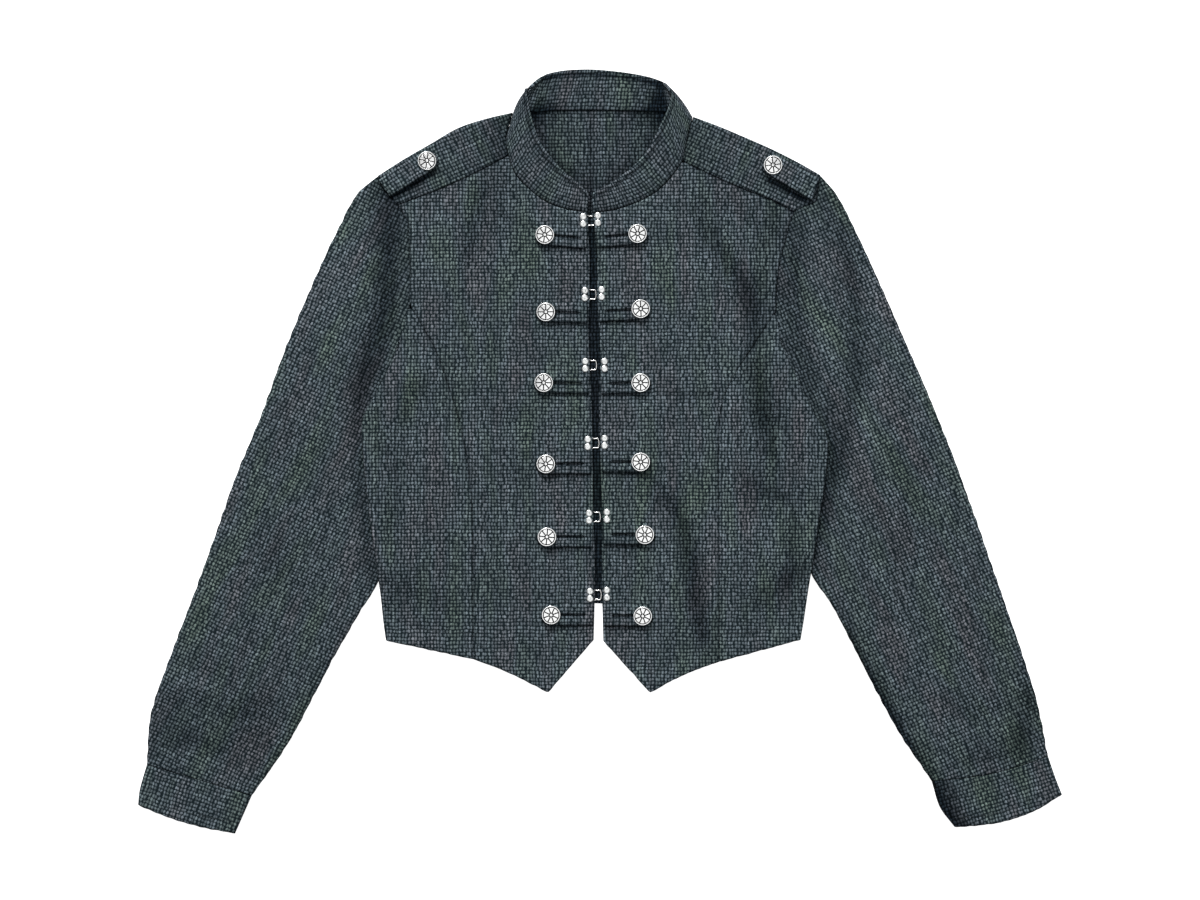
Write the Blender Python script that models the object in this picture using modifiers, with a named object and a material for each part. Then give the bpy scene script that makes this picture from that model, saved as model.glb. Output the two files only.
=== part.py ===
"""A cropped jacket laid flat on its back.

Lengths are millimetres until a mesh is made. X runs to the wearer's left, Y to the
collar and Z up from the surface that the jacket lies on. Every table below has one
row for each section of the garment, and the pieces on both sides of a seam read the
same row, so that they meet along it with SEAM_GAP between them.
"""

import math

import bmesh
import bpy
from mathutils import Vector
from mathutils.bvhtree import BVHTree

MM = 0.001

# Cloth
CLOTH = 1.8             # wall of the tweed
COLLAR_CLOTH = 3.0      # the collar is two layers sewn together
TAB_CLOTH = 2.4         # folded straps of the front and shoulders
SEAM_GAP = 0.3          # between two pieces at a seam
LAY_GAP = 0.4           # between a piece and what lies on it

# Heights above the surface
FLAT = 5.0              # top of two walls lying on each other
SLEEVE_CROWN = 1.6      # how much the middle of a sleeve stands above FLAT
CROWN_SHARE = 0.62      # share of the width, from the outer edge, that is crowned
NECK_RISE = 1.9         # how much the fronts rise round the neck
NECK_CENTRE = (-1.0, 300.0)
NECK_RADIUS = 84.0
NECK_SPREAD = 62.0
COLLAR_HEIGHT = 10.5    # top edge of the collar at the front
SIDE_PLATEAU = 26.0     # width of the side that rides on the sleeve
SIDE_SLOPE = 26.0       # width over which it comes down again
FOLD_HEIGHT = 4.2       # height of a side's fold where it lies on the sleeve
SIDE_START = 0.25       # share of the first trunk section where a side begins
COLLAR_RAMP = 30.0      # width over which the collar climbs to its height

# Cells
HEM_STEPS = (6, 4)      # along a front's hem, on each side of its lowest point
SIDE_COLUMNS = 8        # across a side's upper layer
FOLD_STEPS = 4          # round a fold, and round the edge of a flattened tube
YOKE_STEPS = (4, FOLD_STEPS, 4)
NECK_STEPS = (2, FOLD_STEPS, 4)
COLLAR_STEPS = 3        # across the collar
HOLE_FADE = 5           # sleeve sections over which the armhole's curve dies out
EVEN_FADE = 6           # and over which its points become evenly spaced
CUFF_FADE = 3           # sleeve sections over which the cuff's bow builds up

# Lower layer of a side, from the fold to the back seam: share of its width, and share
# of the lift, which it keeps until it has passed the sleeve's edge.
SIDE_UNDER = ((0.3, 1.0), (0.62, 1.0), (0.72, 0.75), (0.86, 0.2), (1.0, 0.0))

CENTRE_BACK_X = -9.0
TAIL_CENTRE_Y = -146.0  # the back's hem rises here, behind the fronts' points

# Yoke sections from neck to armhole, each side.
# Columns: front seam x, y; shoulder fold x, y; back seam x, y.
YOKE = {
    "right": (
        (-88, 284, -82.5, 322, -85, 314),
        (-110, 273, -112, 319.5, -109, 305),
        (-132, 262, -137, 311, -131, 290),
        (-154, 252, -163, 296, -153, 274),
        (-176, 244, -189, 281, -175, 256),
        (-195, 237, -214, 265, -195, 237),
    ),
    "left": (
        (79, 279, 89.5, 322, 92, 313),
        (100, 269, 115, 312.5, 110, 298),
        (122, 259, 139, 302.5, 130, 285),
        (144, 250, 164, 291.5, 151, 270),
        (166, 241, 188, 279.5, 171, 252),
        (187, 230, 212, 266, 187, 230),
    ),
}

# Chest sections from the yoke seam down to the top of the princess seam.
# Columns: armhole x, y; neckline x, y.
CHEST = {
    "right": (
        (-195, 237, -88, 284),
        (-190, 229, -81, 266),
        (-185, 221, -70, 254),
        (-184, 203, -54, 241.5),
        (-183, 186, -35, 233.5),
        (-183, 165, -22, 231),
        (-183, 143, -12, 230),
    ),
    "left": (
        (187, 230, 79, 279),
        (183, 219, 74, 271),
        (180, 208, 67, 262),
        (176, 192, 56, 251),
        (172, 175, 39, 241),
        (170, 155, 17, 233),
        (169, 135, -7.5, 229),
    ),
}

# Trunk sections from the end of the armhole seam down to the hem.
# Columns: princess seam x, y; front edge x, y; side fold x, y; back seam x, y; lift,
# the height of the fold's lower layer. The first two sections end in the armhole, and
# lift is how far their end stands above FLAT, where the side begins to fold over.
TRUNK = {
    "right": (
        (-171, 121, -11, 212, -189, 118, -189, 118, 1.3),
        (-158, 97, -10, 190, -197, 94, -197, 94, 3.2),
        (-150, 75, -10, 168, -206, 74, -200, 76, 6.8),
        (-143, 55, -10, 146, -216, 55, -199, 52, 7.2),
        (-136, 30, -11, 120, -228, 31, -182, 30, 5.4),
        (-129, 0, -10, 92, -228, 4, -179, 0, 5.4),
        (-124, -40, -8, 50, -224, -40, -178, -40, 5.4),
        (-122, -80, -7, 0, -219, -80, -177, -80, 5.4),
        (-122, -118, -6, -60, -213.5, -118, -177, -118, 5.4),
        (-122, -140, -5, -105, -211, -140, -177, -140, 1.0),
        (-122, -168, -5, -140, -208.5, -164, -177, -160, 0),
        (-122, -200, -6, -181, -206, -182, -177, -177, 0),
    ),
    "left": (
        (160, 121, -5, 210, 171, 121, 171, 121, 1.3),
        (151, 107, -3, 190, 173, 107, 173, 107, 3.2),
        (140, 90, -3, 168, 181, 89, 177, 88, 6.8),
        (130, 75, -3, 146, 189, 71, 177, 56, 6.8),
        (118, 48, -1, 120, 203, 42, 162, 38, 5.4),
        (114.5, 15, 0, 92, 218, 13, 158, 12, 5.4),
        (114, -20, -1, 50, 217, -22, 160, -20, 5.4),
        (114.5, -60, 0, 0, 211, -62, 162, -60, 5.4),
        (115, -112, 2, -60, 203.5, -112, 163, -112, 5.4),
        (115, -136, 2, -105, 200, -136, 163, -136, 1.0),
        (115, -164, 2, -140, 196.5, -160, 163, -156, 0),
        (115, -202, 3, -182, 193, -181, 163, -175, 0),
    ),
}

# The lowest point of each front's hem.
HEM_POINT = {"right": (-50, -232), "left": (48, -232)}

# Armhole between the yoke seam and the shoulder, and between the last visible seam
# point and the underarm, where the sleeve runs under the side.
ARMHOLE_TOP = {"right": ((-214, 265), (-205, 250)), "left": ((212, 266), (208, 240))}
UNDERARM = {"right": ((-199, 72), (-199, 50)), "left": ((175, 80), (177, 54))}

# Sleeve sections from the armhole to the cuff seam.
# Columns: outer edge x, y; inner edge x, y; crown, a share of SLEEVE_CROWN.
SLEEVE = {
    "right": (
        (-214, 265, -199, 50, 0.0),
        (-231, 251, -200, 28, 0.4),
        (-255, 208, -202, -6, 0.8),
        (-281, 151, -204, -38, 1.0),
        (-305, 93, -207, -68, 1.0),
        (-326, 35, -210, -97, 1.0),
        (-350, -23, -213, -124, 1.0),
        (-370, -80, -233, -158, 1.0),
        (-391, -138, -256, -198, 1.0),
        (-413, -196, -279, -242, 1.0),
        (-432, -252, -302, -284, 0.8),
        (-436, -301, -335, -331, 0.4),
    ),
    "left": (
        (212, 266, 177, 54, 0.0),
        (226, 250, 179, 32, 0.4),
        (248, 208, 183, 0, 0.8),
        (271, 158, 187, -32, 1.0),
        (293, 107, 192, -62, 1.0),
        (318, 50, 198, -90, 1.0),
        (341, -8, 203, -117, 1.0),
        (362, -66, 223, -148, 1.0),
        (382, -124, 245, -190, 1.0),
        (402, -182, 267, -233, 1.0),
        (420, -239, 290, -274, 0.8),
        (431, -293, 319, -317, 0.4),
    ),
}

# Cuff sections below the cuff seam: outer edge x, y; inner edge x, y; and the sag of
# the middle of each section towards the hand.
CUFF = {
    "right": (
        (-436, -301, -335, -331, 0.0),
        (-443, -326, -342, -347, 2.0),
        (-444.5, -340, -351, -367.4, 3.5),
    ),
    "left": (
        (431, -293, 319, -317, 5.0),
        (439, -316, 328, -344, 7.0),
        (444.5, -330, 341, -361, 9.0),
    ),
}

# Collar sections from the wearer's right end round the back to the left end.
# Columns: neck seam x, y; top edge x, y. The folds of both sides lie between the
# first and second, and the second and third, groups.
COLLAR_FRONT = {
    "right": (
        (-12, 230, -11, 248),
        (-22, 231, -19, 256),
        (-35, 233.5, -26, 262),
        (-54, 241.5, -37, 271),
        (-70, 254, -48, 284),
        (-81, 266, -57, 297),
        (-88, 284, -65, 318),
        (-90, 302, -69, 338),
    ),
    "left": (
        (-7.5, 229, -7.5, 248),
        (17, 233, 9, 257),
        (39, 241, 22, 266),
        (56, 251, 35, 277),
        (67, 262, 46, 290),
        (74, 271, 53, 303),
        (79, 279, 59, 316),
        (84, 302, 68, 338),
    ),
}
COLLAR_SIDE = {"right": (-81.0, 323.5, -68, 353), "left": (88.2, 322.8, 70, 350)}
COLLAR_BACK = (
    (-66, 327.5, -54, 362),
    (-47, 328.5, -38, 366),
    (-28, 329, -21, 367.4),
    (-9, 329.3, -5, 367.4),
    (8, 329, 12, 366),
    (26, 328.5, 31, 363.5),
    (44, 328, 48, 360),
    (62, 327.5, 61, 355.5),
)

# The largest creases of the body: x, y at both ends, half width and depth.
FOLDS = (
    (115, 193, 139, 162, 9, -0.8),
    (144, 150, 152, 30, 12, -0.9),
    (70, -66, 90, -150, 11, -0.9),
    (-128, 242, -128, 190, 12, -0.6),
)

# Straps of the front, one row for each pair.
# Columns: right button x, y; left button x, y; right stud y; left stud y.
CLOSURES = (
    (-53, 208, 36, 209, 222, 223),
    (-52, 134, 39, 137, 151, 152),
    (-54, 66, 39, 66, 83, 83),
    (-52, -12, 39, -10, 8, 9),
    (-51, -82, 43, -80, -63, -62),
    (-47, -157, 41, -158, -138, -137),
)
TAB_HALF = 10.2         # half the width of a strap, and the radius of its end
TAB_EDGE = 1.5          # from the front edge to the strap's square end
TAB_SLIT = 0.8          # gap between the two runs of the strap
TAB_SLIT_END = 8.0      # from the strap's square end to the gap
TAB_SLIT_REACH = 2.0    # how far the gap runs in under the button
TAB_STEPS = 7           # facets of a strap's round end

BUTTON_RADIUS = 9.0
# Button profile from the middle of its face to the middle of its back: radius, height.
BUTTON_PROFILE = ((0, 3.0), (6.4, 2.7), (8.5, 2.0), (9.0, 1.2), (8.0, 0), (0, 0))
BUTTON_STEPS = 18

STUD_RADIUS = 3.8
STUD_SPACING = 7.1
STUD_INSET = 4.6        # from the front edge to the middle of a stud
STUD_PROFILE = ((0, 1.5), (2.5, 1.1), (3.8, 0.4), (3.8, 0), (0, 0))
STUD_STEPS = 12

# Wire eyes: reach past the front edge, half height, hidden length and wire radius.
EYE_REACH = 5.6
EYE_HALF = 4.4
EYE_FLARE = 2.4
EYE_HIDDEN = 5.0
EYE_NECK = 1.1          # half the stretch at the edge over which the legs flare out
EYE_BEND = 1.4          # radius of the bar's corners
EYE_WIRE = 0.45

# Shoulder straps: the square end's top and bottom corners, the button, and the
# half width at the button.
STRAP_STEPS = 8         # facets of the round end
SHOULDER_STRAP = {
    "right": ((-212.5, 261.0), (-201.0, 245.0), (-166, 279), 10.6),
    "left": ((210.5, 262.5), (203.0, 240.5), (166, 275), 10.6),
}

COLOURS = {
    "tweed": (0.055, 0.072, 0.078, 0.0, 0.95),
    "silver": (0.62, 0.63, 0.62, 1.0, 0.32),
    "nickel": (0.78, 0.79, 0.79, 1.0, 0.22),
    "wire": (0.70, 0.70, 0.68, 1.0, 0.30),
}


def smooth(t):
    """Ease from 0 to 1."""
    t = min(max(t, 0.0), 1.0)
    return t * t * (3 - 2 * t)


def lerp(a, b, t):
    """The point at share t of the way from a to b."""
    return tuple(p + (q - p) * t for p, q in zip(a, b))


def crease(x, y):
    """Depth of the creases at a point of the body."""
    depth = 0.0
    for x0, y0, x1, y1, width, height in FOLDS:
        length = math.hypot(x1 - x0, y1 - y0)
        along = ((x - x0) * (x1 - x0) + (y - y0) * (y1 - y0)) / length
        along = min(max(along, 0.0), length)
        near = math.hypot(x - x0 - (x1 - x0) * along / length, y - y0 - (y1 - y0) * along / length)
        depth += height * math.exp(-((near / width) ** 2))
    return depth


def body_top(x, y):
    """Height of the face of the fronts and yokes, away from their folds."""
    neck = math.hypot(x - NECK_CENTRE[0], y - NECK_CENTRE[1])
    return FLAT + NECK_RISE * smooth(1 - (neck - NECK_RADIUS) / NECK_SPREAD) + crease(x, y)


def coons(top, bottom, left, right):
    """Grid of plan points between four edges, whose ends meet."""
    rows = len(left)
    columns = len(top)
    grid = []
    for i in range(rows):
        v = i / (rows - 1)
        row = []
        for j in range(columns):
            u = j / (columns - 1)
            across = lerp(left[i], right[i], u)
            down = lerp(top[j], bottom[j], v)
            corners = lerp(lerp(top[0], top[-1], u), lerp(bottom[0], bottom[-1], u), v)
            row.append(tuple(a + d - c for a, d, c in zip(across, down, corners)))
        grid.append(row)
    return grid


def halve(points):
    """The same line with a point added in the middle of each stretch."""
    dense = [points[0]]
    for a, b in zip(points, points[1:]):
        dense += [lerp(a, b, 0.5), b]
    return dense


def drawn_in(line, inner, amount):
    """A grid's edge moved in plan by amount, square to itself, towards the next line."""
    moved = []
    for k, point in enumerate(line):
        before = line[max(k - 1, 0)]
        after = line[min(k + 1, len(line) - 1)]
        towards = Vector(inner[k][:2]) - Vector(point[:2])
        along = Vector(after[:2]) - Vector(before[:2])
        normal = Vector((-along.y, along.x))
        if along.length < SEAM_GAP or abs(normal.normalized().dot(towards.normalized())) < 0.2:
            normal = towards
        if normal.dot(towards) < 0:
            normal = -normal
        shift = normal.normalized() * amount
        moved.append((point[0] + shift.x, point[1] + shift.y, *point[2:]))
    return moved


def inset(grid, top=0.0, bottom=0.0, left=0.0, right=0.0):
    """Draw in the edges of a grid of points by the amounts given."""
    grid = [list(row) for row in grid]
    if top:
        grid[0] = drawn_in(grid[0], grid[1], top)
    if bottom:
        grid[-1] = drawn_in(grid[-1], grid[-2], bottom)
    if left:
        edge = drawn_in([row[0] for row in grid], [row[1] for row in grid], left)
        for row, point in zip(grid, edge):
            row[0] = point
    if right:
        edge = drawn_in([row[-1] for row in grid], [row[-2] for row in grid], right)
        for row, point in zip(grid, edge):
            row[-1] = point
    return grid


def fold_section(front, crest, back, high, low, counts):
    """Points of a strip that runs from front to crest, folds over and runs to back.

    front and back are plan points, high and low the heights of the two layers, and
    counts the number of steps on the upper run, round the fold and on the lower run.
    """
    radius = (high - low) / 2
    reach = math.dist(front, crest)
    unit = ((crest[0] - front[0]) / reach, (crest[1] - front[1]) / reach)
    centre = (crest[0] - unit[0] * radius, crest[1] - unit[1] * radius)
    points = []
    for k in range(counts[0]):
        points.append(lerp(front, centre, k / counts[0]) + (high,))
    for k in range(counts[1] + 1):
        angle = math.pi / 2 - math.pi * k / counts[1]
        out = radius * math.cos(angle)
        height = low + radius + radius * math.sin(angle)
        points.append((centre[0] + unit[0] * out, centre[1] + unit[1] * out, height))
    for k in range(1, counts[2] + 1):
        points.append(lerp(centre, back, k / counts[2]) + (low,))
    return points


def material(name, key):
    """A Principled material of a piece's colour, metallic value and roughness."""
    red, green, blue, metallic, roughness = COLOURS[key]
    result = bpy.data.materials.new(name)
    result.use_nodes = True
    shader = result.node_tree.nodes["Principled BSDF"]
    shader.inputs["Base Color"].default_value = (red, green, blue, 1.0)
    shader.inputs["Metallic"].default_value = metallic
    shader.inputs["Roughness"].default_value = roughness
    return result


def add_object(name, mesh, key, location=(0, 0, 0)):
    """Put a mesh in the jacket's collection under a name, with its own material."""
    obj = bpy.data.objects.new(name, mesh)
    obj.location = location
    jacket.objects.link(obj)
    mesh.materials.clear()
    mesh.materials.append(material(name, key))
    return obj


def sheet(name, grid, wall=CLOTH, face_up=True, tube=False, key="tweed"):
    """A sheet of cloth through a grid of points, which are on its outer face."""
    rows = len(grid)
    columns = len(grid[0])
    i = rows // 2
    j = columns // 4 if tube else 1
    across = Vector(grid[i][j + 1]) - Vector(grid[i][j])
    along = Vector(grid[i][j]) - Vector(grid[i - 1][j])
    if (across.cross(along).z > 0) != face_up:
        grid = [row[::-1] for row in grid]
    bm = bmesh.new()
    bmesh.ops.create_grid(bm, x_segments=columns - 1, y_segments=rows - 1, size=1.0)
    for vertex in bm.verts:
        j = round((vertex.co.x + 1) / 2 * (columns - 1))
        i = round((vertex.co.y + 1) / 2 * (rows - 1))
        vertex.co = Vector(grid[i][j]) * MM
    if tube:
        bmesh.ops.remove_doubles(bm, verts=bm.verts, dist=1e-5)
    mesh = bpy.data.meshes.new(name)
    bm.to_mesh(mesh)
    bm.free()
    obj = add_object(name, mesh, key)
    solidify = obj.modifiers.new("Cloth wall", "SOLIDIFY")
    solidify.thickness = wall * MM
    solidify.offset = -1
    mesh.shade_smooth()
    return obj


def front_panel(side):
    """Front panel: yoke seam above, neckline and front edge inside, princess seam."""
    top = halve([row[:2] for row in YOKE[side]])[::-1]
    left = [row[:2] for row in CHEST[side]] + [row[:2] for row in TRUNK[side]]
    right = [row[2:4] for row in CHEST[side]] + [row[2:4] for row in TRUNK[side]]
    tip = HEM_POINT[side]
    outer, inner = HEM_STEPS
    bottom = [lerp(left[-1], tip, k / outer) for k in range(outer)]
    bottom += [lerp(tip, right[-1], k / inner) for k in range(inner + 1)]
    half = SEAM_GAP / 2
    grid = inset(coons(top, bottom, left, right), top=half, left=half, right=half)
    grid = [[(x, y, body_top(x, y)) for x, y in row] for row in grid]
    return sheet("front_" + side, grid)


def side_rise(distance, high):
    """Height of a side's upper layer at a distance from its fold."""
    return FLAT + (high - FLAT) * (1 - smooth((distance - SIDE_PLATEAU) / SIDE_SLOPE))


def side_panel(side):
    """Side panel: from the princess seam, over the sleeve, round the fold and back."""
    seam_top = lerp(CHEST[side][-1][:2], TRUNK[side][0][:2], SIDE_START)
    hole_top = lerp(CHEST[side][-1][:2], TRUNK[side][0][4:6], SIDE_START)
    rows = ((*seam_top, 0, 0, *hole_top, *hole_top, 0),) + TRUNK[side]
    seams = [row[:2] for row in rows]
    crests = [row[4:6] for row in rows]
    ends = [row[6:8] for row in rows]
    inner = [seam if crest == end else crest for seam, crest, end in zip(seams, crests, ends)]
    drawn_seams = drawn_in(seams, crests, SEAM_GAP / 2)
    drawn_ends = drawn_in(ends, inner, SEAM_GAP)
    grid = []
    for row, seam, back in zip(rows, drawn_seams, drawn_ends):
        folded = row[4:6] != row[6:8]
        crest = row[4:6] if folded else back
        lift = row[8]
        reach = math.dist(seam, crest)
        high = max(lift + FOLD_HEIGHT, FLAT) if folded else FLAT + lift
        flat_reach = reach - (high - lift) / 2 if folded else reach
        points = []
        for k in range(SIDE_COLUMNS):
            along = flat_reach * k / SIDE_COLUMNS
            x, y = lerp(seam, crest, along / reach)
            rise = side_rise(reach - along, high) if folded else FLAT + lift * smooth(along / reach)
            points.append((x, y, rise + crease(x, y)))
        if folded:
            turn = fold_section(seam, crest, back, high, lift, (1, FOLD_STEPS, 0))[1:]
            points += turn
            hangs = back[1] > UNDERARM[side][1][1]
            for share, kept in SIDE_UNDER:
                height = lift * (1.0 if hangs else kept)
                points.append((*lerp(turn[-1][:2], back, share), height))
        else:
            count = FOLD_STEPS + 1 + len(SIDE_UNDER)
            end = (*crest, FLAT + lift)
            last = points[-1]
            points += [lerp(last, end, k / count) for k in range(1, count + 1)]
        grid.append(points)
    return sheet("side_" + side, grid)


def back_panel(side):
    """Back panel, flat on the surface, from the back yoke seam to its hem."""
    yoke_seam = [row[4:6] for row in YOKE[side]][::-1]
    neck = COLLAR_BACK[:4] if side == "right" else COLLAR_BACK[:2:-1]
    shoulder = neck_row(side)[2 + NECK_STEPS[0] + NECK_STEPS[1]]
    top = yoke_seam + [shoulder[:2]] + [row[:2] for row in neck]
    left = [row[:2] for row in CHEST[side]]
    left += [row[4:6] for row in TRUNK[side][:2]]
    left += list(UNDERARM[side])
    left += [row[6:8] for row in TRUNK[side][4:]]
    count = len(left)
    highest = top[-1]
    lowest = (CENTRE_BACK_X, TAIL_CENTRE_Y)
    right = [lerp(highest, lowest, i / (count - 1)) for i in range(count)]
    columns = len(top)
    bottom = []
    for j in range(columns):
        share = j / (columns - 1)
        x, y = lerp(left[-1], lowest, share)
        bottom.append((x, left[-1][1] + (lowest[1] - left[-1][1]) * smooth(share)))
    half = SEAM_GAP / 2
    grid = inset(coons(top, bottom, left, right), top=half, left=half, right=half)
    grid = [[(x, y, 0.0) for x, y in row] for row in grid]
    return sheet("back_" + side, grid, face_up=False)


def neck_row(side):
    """The yoke's end on the neck seam: up the front, over the shoulder and behind."""
    start = YOKE[side][0][:2]
    turn = COLLAR_FRONT[side][-1][:2]
    crest = YOKE[side][0][2:4]
    end = YOKE[side][0][4:6]
    points = [(*point, body_top(*point)) for point in (start, lerp(start, turn, 0.5))]
    return points + fold_section(turn, crest, end, body_top(*turn), 0.0, NECK_STEPS)


def hole_row(side):
    """The yoke's end in the armhole: out to its corner, over the shoulder and back."""
    crest, corner = ARMHOLE_TOP[side]
    seam = CHEST[side][0][:2]
    high = body_top(*seam)
    turn = fold_section(corner, crest, corner, high, 0.0, (2, FOLD_STEPS, 2))
    upper = [(*lerp(seam, corner, k / 2), high) for k in (0, 1)]
    lower = [(*lerp(corner, seam, k / 2), 0.0) for k in (1, 2)]
    return upper + turn + lower


def yoke(side):
    """Yoke: from the front yoke seam, over the shoulder fold, to the back seam."""
    grid = [neck_row(side)]
    for row in YOKE[side][1:-1]:
        front_seam = row[:2]
        crest = row[2:4]
        back_seam = row[4:6]
        high = body_top(*front_seam)
        grid.append(fold_section(front_seam, crest, back_seam, high, 0.0, YOKE_STEPS))
    grid.append(hole_row(side))
    half = SEAM_GAP / 2
    grid = inset(grid, top=2 * SEAM_GAP, bottom=SEAM_GAP, left=half, right=half)
    return sheet("yoke_" + side, grid)


def armhole(side):
    """Plan points of the armhole from the shoulder to the underarm."""
    points = list(ARMHOLE_TOP[side])
    points += [row[:2] for row in CHEST[side]]
    points += [row[4:6] for row in TRUNK[side][:2]]
    points += list(UNDERARM[side])
    return points


def tube_ring(line, height, crown):
    """Ring of a flattened tube over a line of plan points from one edge to the other."""
    radius = height / 2
    first = Vector(line[0])
    last = Vector(line[-1])
    inward_first = (Vector(line[1]) - first).normalized()
    inward_last = (Vector(line[-2]) - last).normalized()
    ring = []
    for k in range(FOLD_STEPS + 1):
        angle = -math.pi / 2 + math.pi * k / FOLD_STEPS
        plan = first + inward_first * radius * (1 - math.cos(angle))
        ring.append((plan.x, plan.y, radius + radius * math.sin(angle)))
    count = len(line)
    for k in range(1, count - 1):
        bulge = crown * math.sin(math.pi * min(k / (count - 1) / CROWN_SHARE, 1))
        ring.append((*line[k], height + bulge))
    for k in range(FOLD_STEPS + 1):
        angle = math.pi / 2 - math.pi * k / FOLD_STEPS
        plan = last + inward_last * radius * (1 - math.cos(angle))
        ring.append((plan.x, plan.y, radius + radius * math.sin(angle)))
    for k in range(count - 2, 0, -1):
        ring.append((*line[k], 0.0))
    ring.append(ring[0])
    return ring


def shares(line):
    """Share of a line's length at each of its points."""
    total = [0.0]
    for a, b in zip(line, line[1:]):
        total.append(total[-1] + math.dist(a, b))
    return [t / total[-1] for t in total]


def sleeve(side):
    """Sleeve: a flattened tube from the armhole seam to the cuff seam."""
    hole = armhole(side)
    spread = shares(hole)
    start = (SLEEVE[side][0][:2], SLEEVE[side][0][2:4])
    bulges = [tuple(h - s for h, s in zip(hole[k], lerp(*start, spread[k]))) for k in range(len(hole))]
    grid = []
    last = len(SLEEVE[side]) - 1
    for i, (outer_x, outer_y, inner_x, inner_y, crown) in enumerate(SLEEVE[side]):
        bulge = 1 - smooth(i / HOLE_FADE)
        even = smooth(i / EVEN_FADE)
        line = []
        for k, share in enumerate(spread):
            share += (k / (len(spread) - 1) - share) * even
            x, y = lerp((outer_x, outer_y), (inner_x, inner_y), share)
            line.append((x + bulges[k][0] * bulge, y + bulges[k][1] * bulge))
        line = sag(line, CUFF[side][0][4] * smooth((i - last + CUFF_FADE) / CUFF_FADE))
        grid.append(tube_ring(line, FLAT, SLEEVE_CROWN * crown))
    grid = inset(grid, top=2 * SEAM_GAP, bottom=SEAM_GAP / 2)
    return sheet("sleeve_" + side, grid, tube=True)


def sag(line, amount):
    """Bow a line of plan points towards the hand by amount in its middle."""
    count = len(line)
    across = Vector(line[-1]) - Vector(line[0])
    normal = Vector((-across.y, across.x)).normalized()
    if normal.y > 0:
        normal = -normal
    bowed = []
    for k, point in enumerate(line):
        depth = amount * math.sin(math.pi * k / (count - 1))
        bowed.append((point[0] + normal.x * depth, point[1] + normal.y * depth))
    return bowed


def cuff(side):
    """Cuff: a short flattened tube below the cuff seam."""
    grid = []
    count = len(armhole(side))
    crown = SLEEVE_CROWN * SLEEVE[side][-1][4]
    for outer_x, outer_y, inner_x, inner_y, bow in CUFF[side]:
        line = [lerp((outer_x, outer_y), (inner_x, inner_y), k / (count - 1)) for k in range(count)]
        grid.append(tube_ring(sag(line, bow), FLAT, crown))
    grid = inset(grid, top=SEAM_GAP / 2)
    return sheet("cuff_" + side, grid, tube=True)


def collar_sections(side):
    """Collar sections of one side: seam point and top point, from the front end."""
    sections = []
    for seam_x, seam_y, top_x, top_y in COLLAR_FRONT[side]:
        reach = math.dist((seam_x, seam_y), (top_x, top_y))
        low = body_top(seam_x, seam_y)
        high = low + (COLLAR_HEIGHT - low) * smooth(reach / COLLAR_RAMP)
        sections.append(((seam_x, seam_y, low), (top_x, top_y, high)))
    seam_x, seam_y, top_x, top_y = COLLAR_SIDE[side]
    (before_seam, before_top) = sections[-1]
    back_row = COLLAR_BACK[0] if side == "right" else COLLAR_BACK[-1]
    counts = (1, FOLD_STEPS, 2)
    seam_turn = fold_section(before_seam[:2], (seam_x, seam_y), back_row[:2], before_seam[2], 0.0, counts)
    top_turn = fold_section(before_top[:2], (top_x, top_y), back_row[2:4], before_top[2], 0.0, counts)
    sections += list(zip(seam_turn, top_turn))[1:-1]
    return sections


def collar():
    """Collar band: both fronts' ends, the folds at the sides and the flat back."""
    right = collar_sections("right")
    left = collar_sections("left")[::-1]
    back_rows = [((sx, sy, 0.0), (tx, ty, 0.0)) for sx, sy, tx, ty in COLLAR_BACK]
    sections = right + back_rows + left
    grid = []
    for k in range(COLLAR_STEPS + 1):
        row = []
        for seam, top in sections:
            start = SEAM_GAP / 2 / math.dist(seam, top)
            row.append(lerp(seam, top, start + (1 - start) * k / COLLAR_STEPS))
        grid.append(row)
    return sheet("collar", grid, COLLAR_CLOTH)


def surface_of(obj):
    """Tree of a finished piece's faces, to find the height of a point on it."""
    bpy.context.view_layer.update()
    return BVHTree.FromObject(obj, bpy.context.evaluated_depsgraph_get())


def height_on(tree, x, y):
    """Height in millimetres of a piece's highest face at a plan point."""
    above = Vector((x * MM, y * MM, 10 * FLAT * MM))
    hit = tree.ray_cast(above, Vector((0, 0, -1)))[0]
    return hit.z / MM if hit else FLAT


def lay_strap(name, tree, outline, slit):
    """A folded strap on a panel: its outline with a slit, made from the panel's points."""
    curve = bpy.data.curves.new(name, "CURVE")
    curve.dimensions = "2D"
    curve.fill_mode = "BOTH"
    curve.extrude = TAB_CLOTH / 2 * MM
    for loop in (outline, slit):
        if not loop:
            continue
        spline = curve.splines.new("POLY")
        spline.points.add(len(loop) - 1)
        for point, (x, y) in zip(spline.points, loop):
            point.co = (x * MM, y * MM, 0, 1)
        spline.use_cyclic_u = True
    guide = bpy.data.objects.new(name + "_outline", curve)
    jacket.objects.link(guide)
    bpy.context.view_layer.update()
    mesh = bpy.data.meshes.new_from_object(guide.evaluated_get(bpy.context.evaluated_depsgraph_get()))
    bpy.data.objects.remove(guide)
    bm = bmesh.new()
    bm.from_mesh(mesh)
    bmesh.ops.remove_doubles(bm, verts=bm.verts, dist=1e-6)
    for vertex in bm.verts:
        floor = height_on(tree, vertex.co.x / MM, vertex.co.y / MM) + LAY_GAP
        upper = vertex.co.z > 0
        vertex.co.z = (floor + (TAB_CLOTH if upper else 0)) * MM
    bmesh.ops.recalc_face_normals(bm, faces=bm.faces)
    bm.to_mesh(mesh)
    bm.free()
    return add_object(name, mesh, "tweed")


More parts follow.
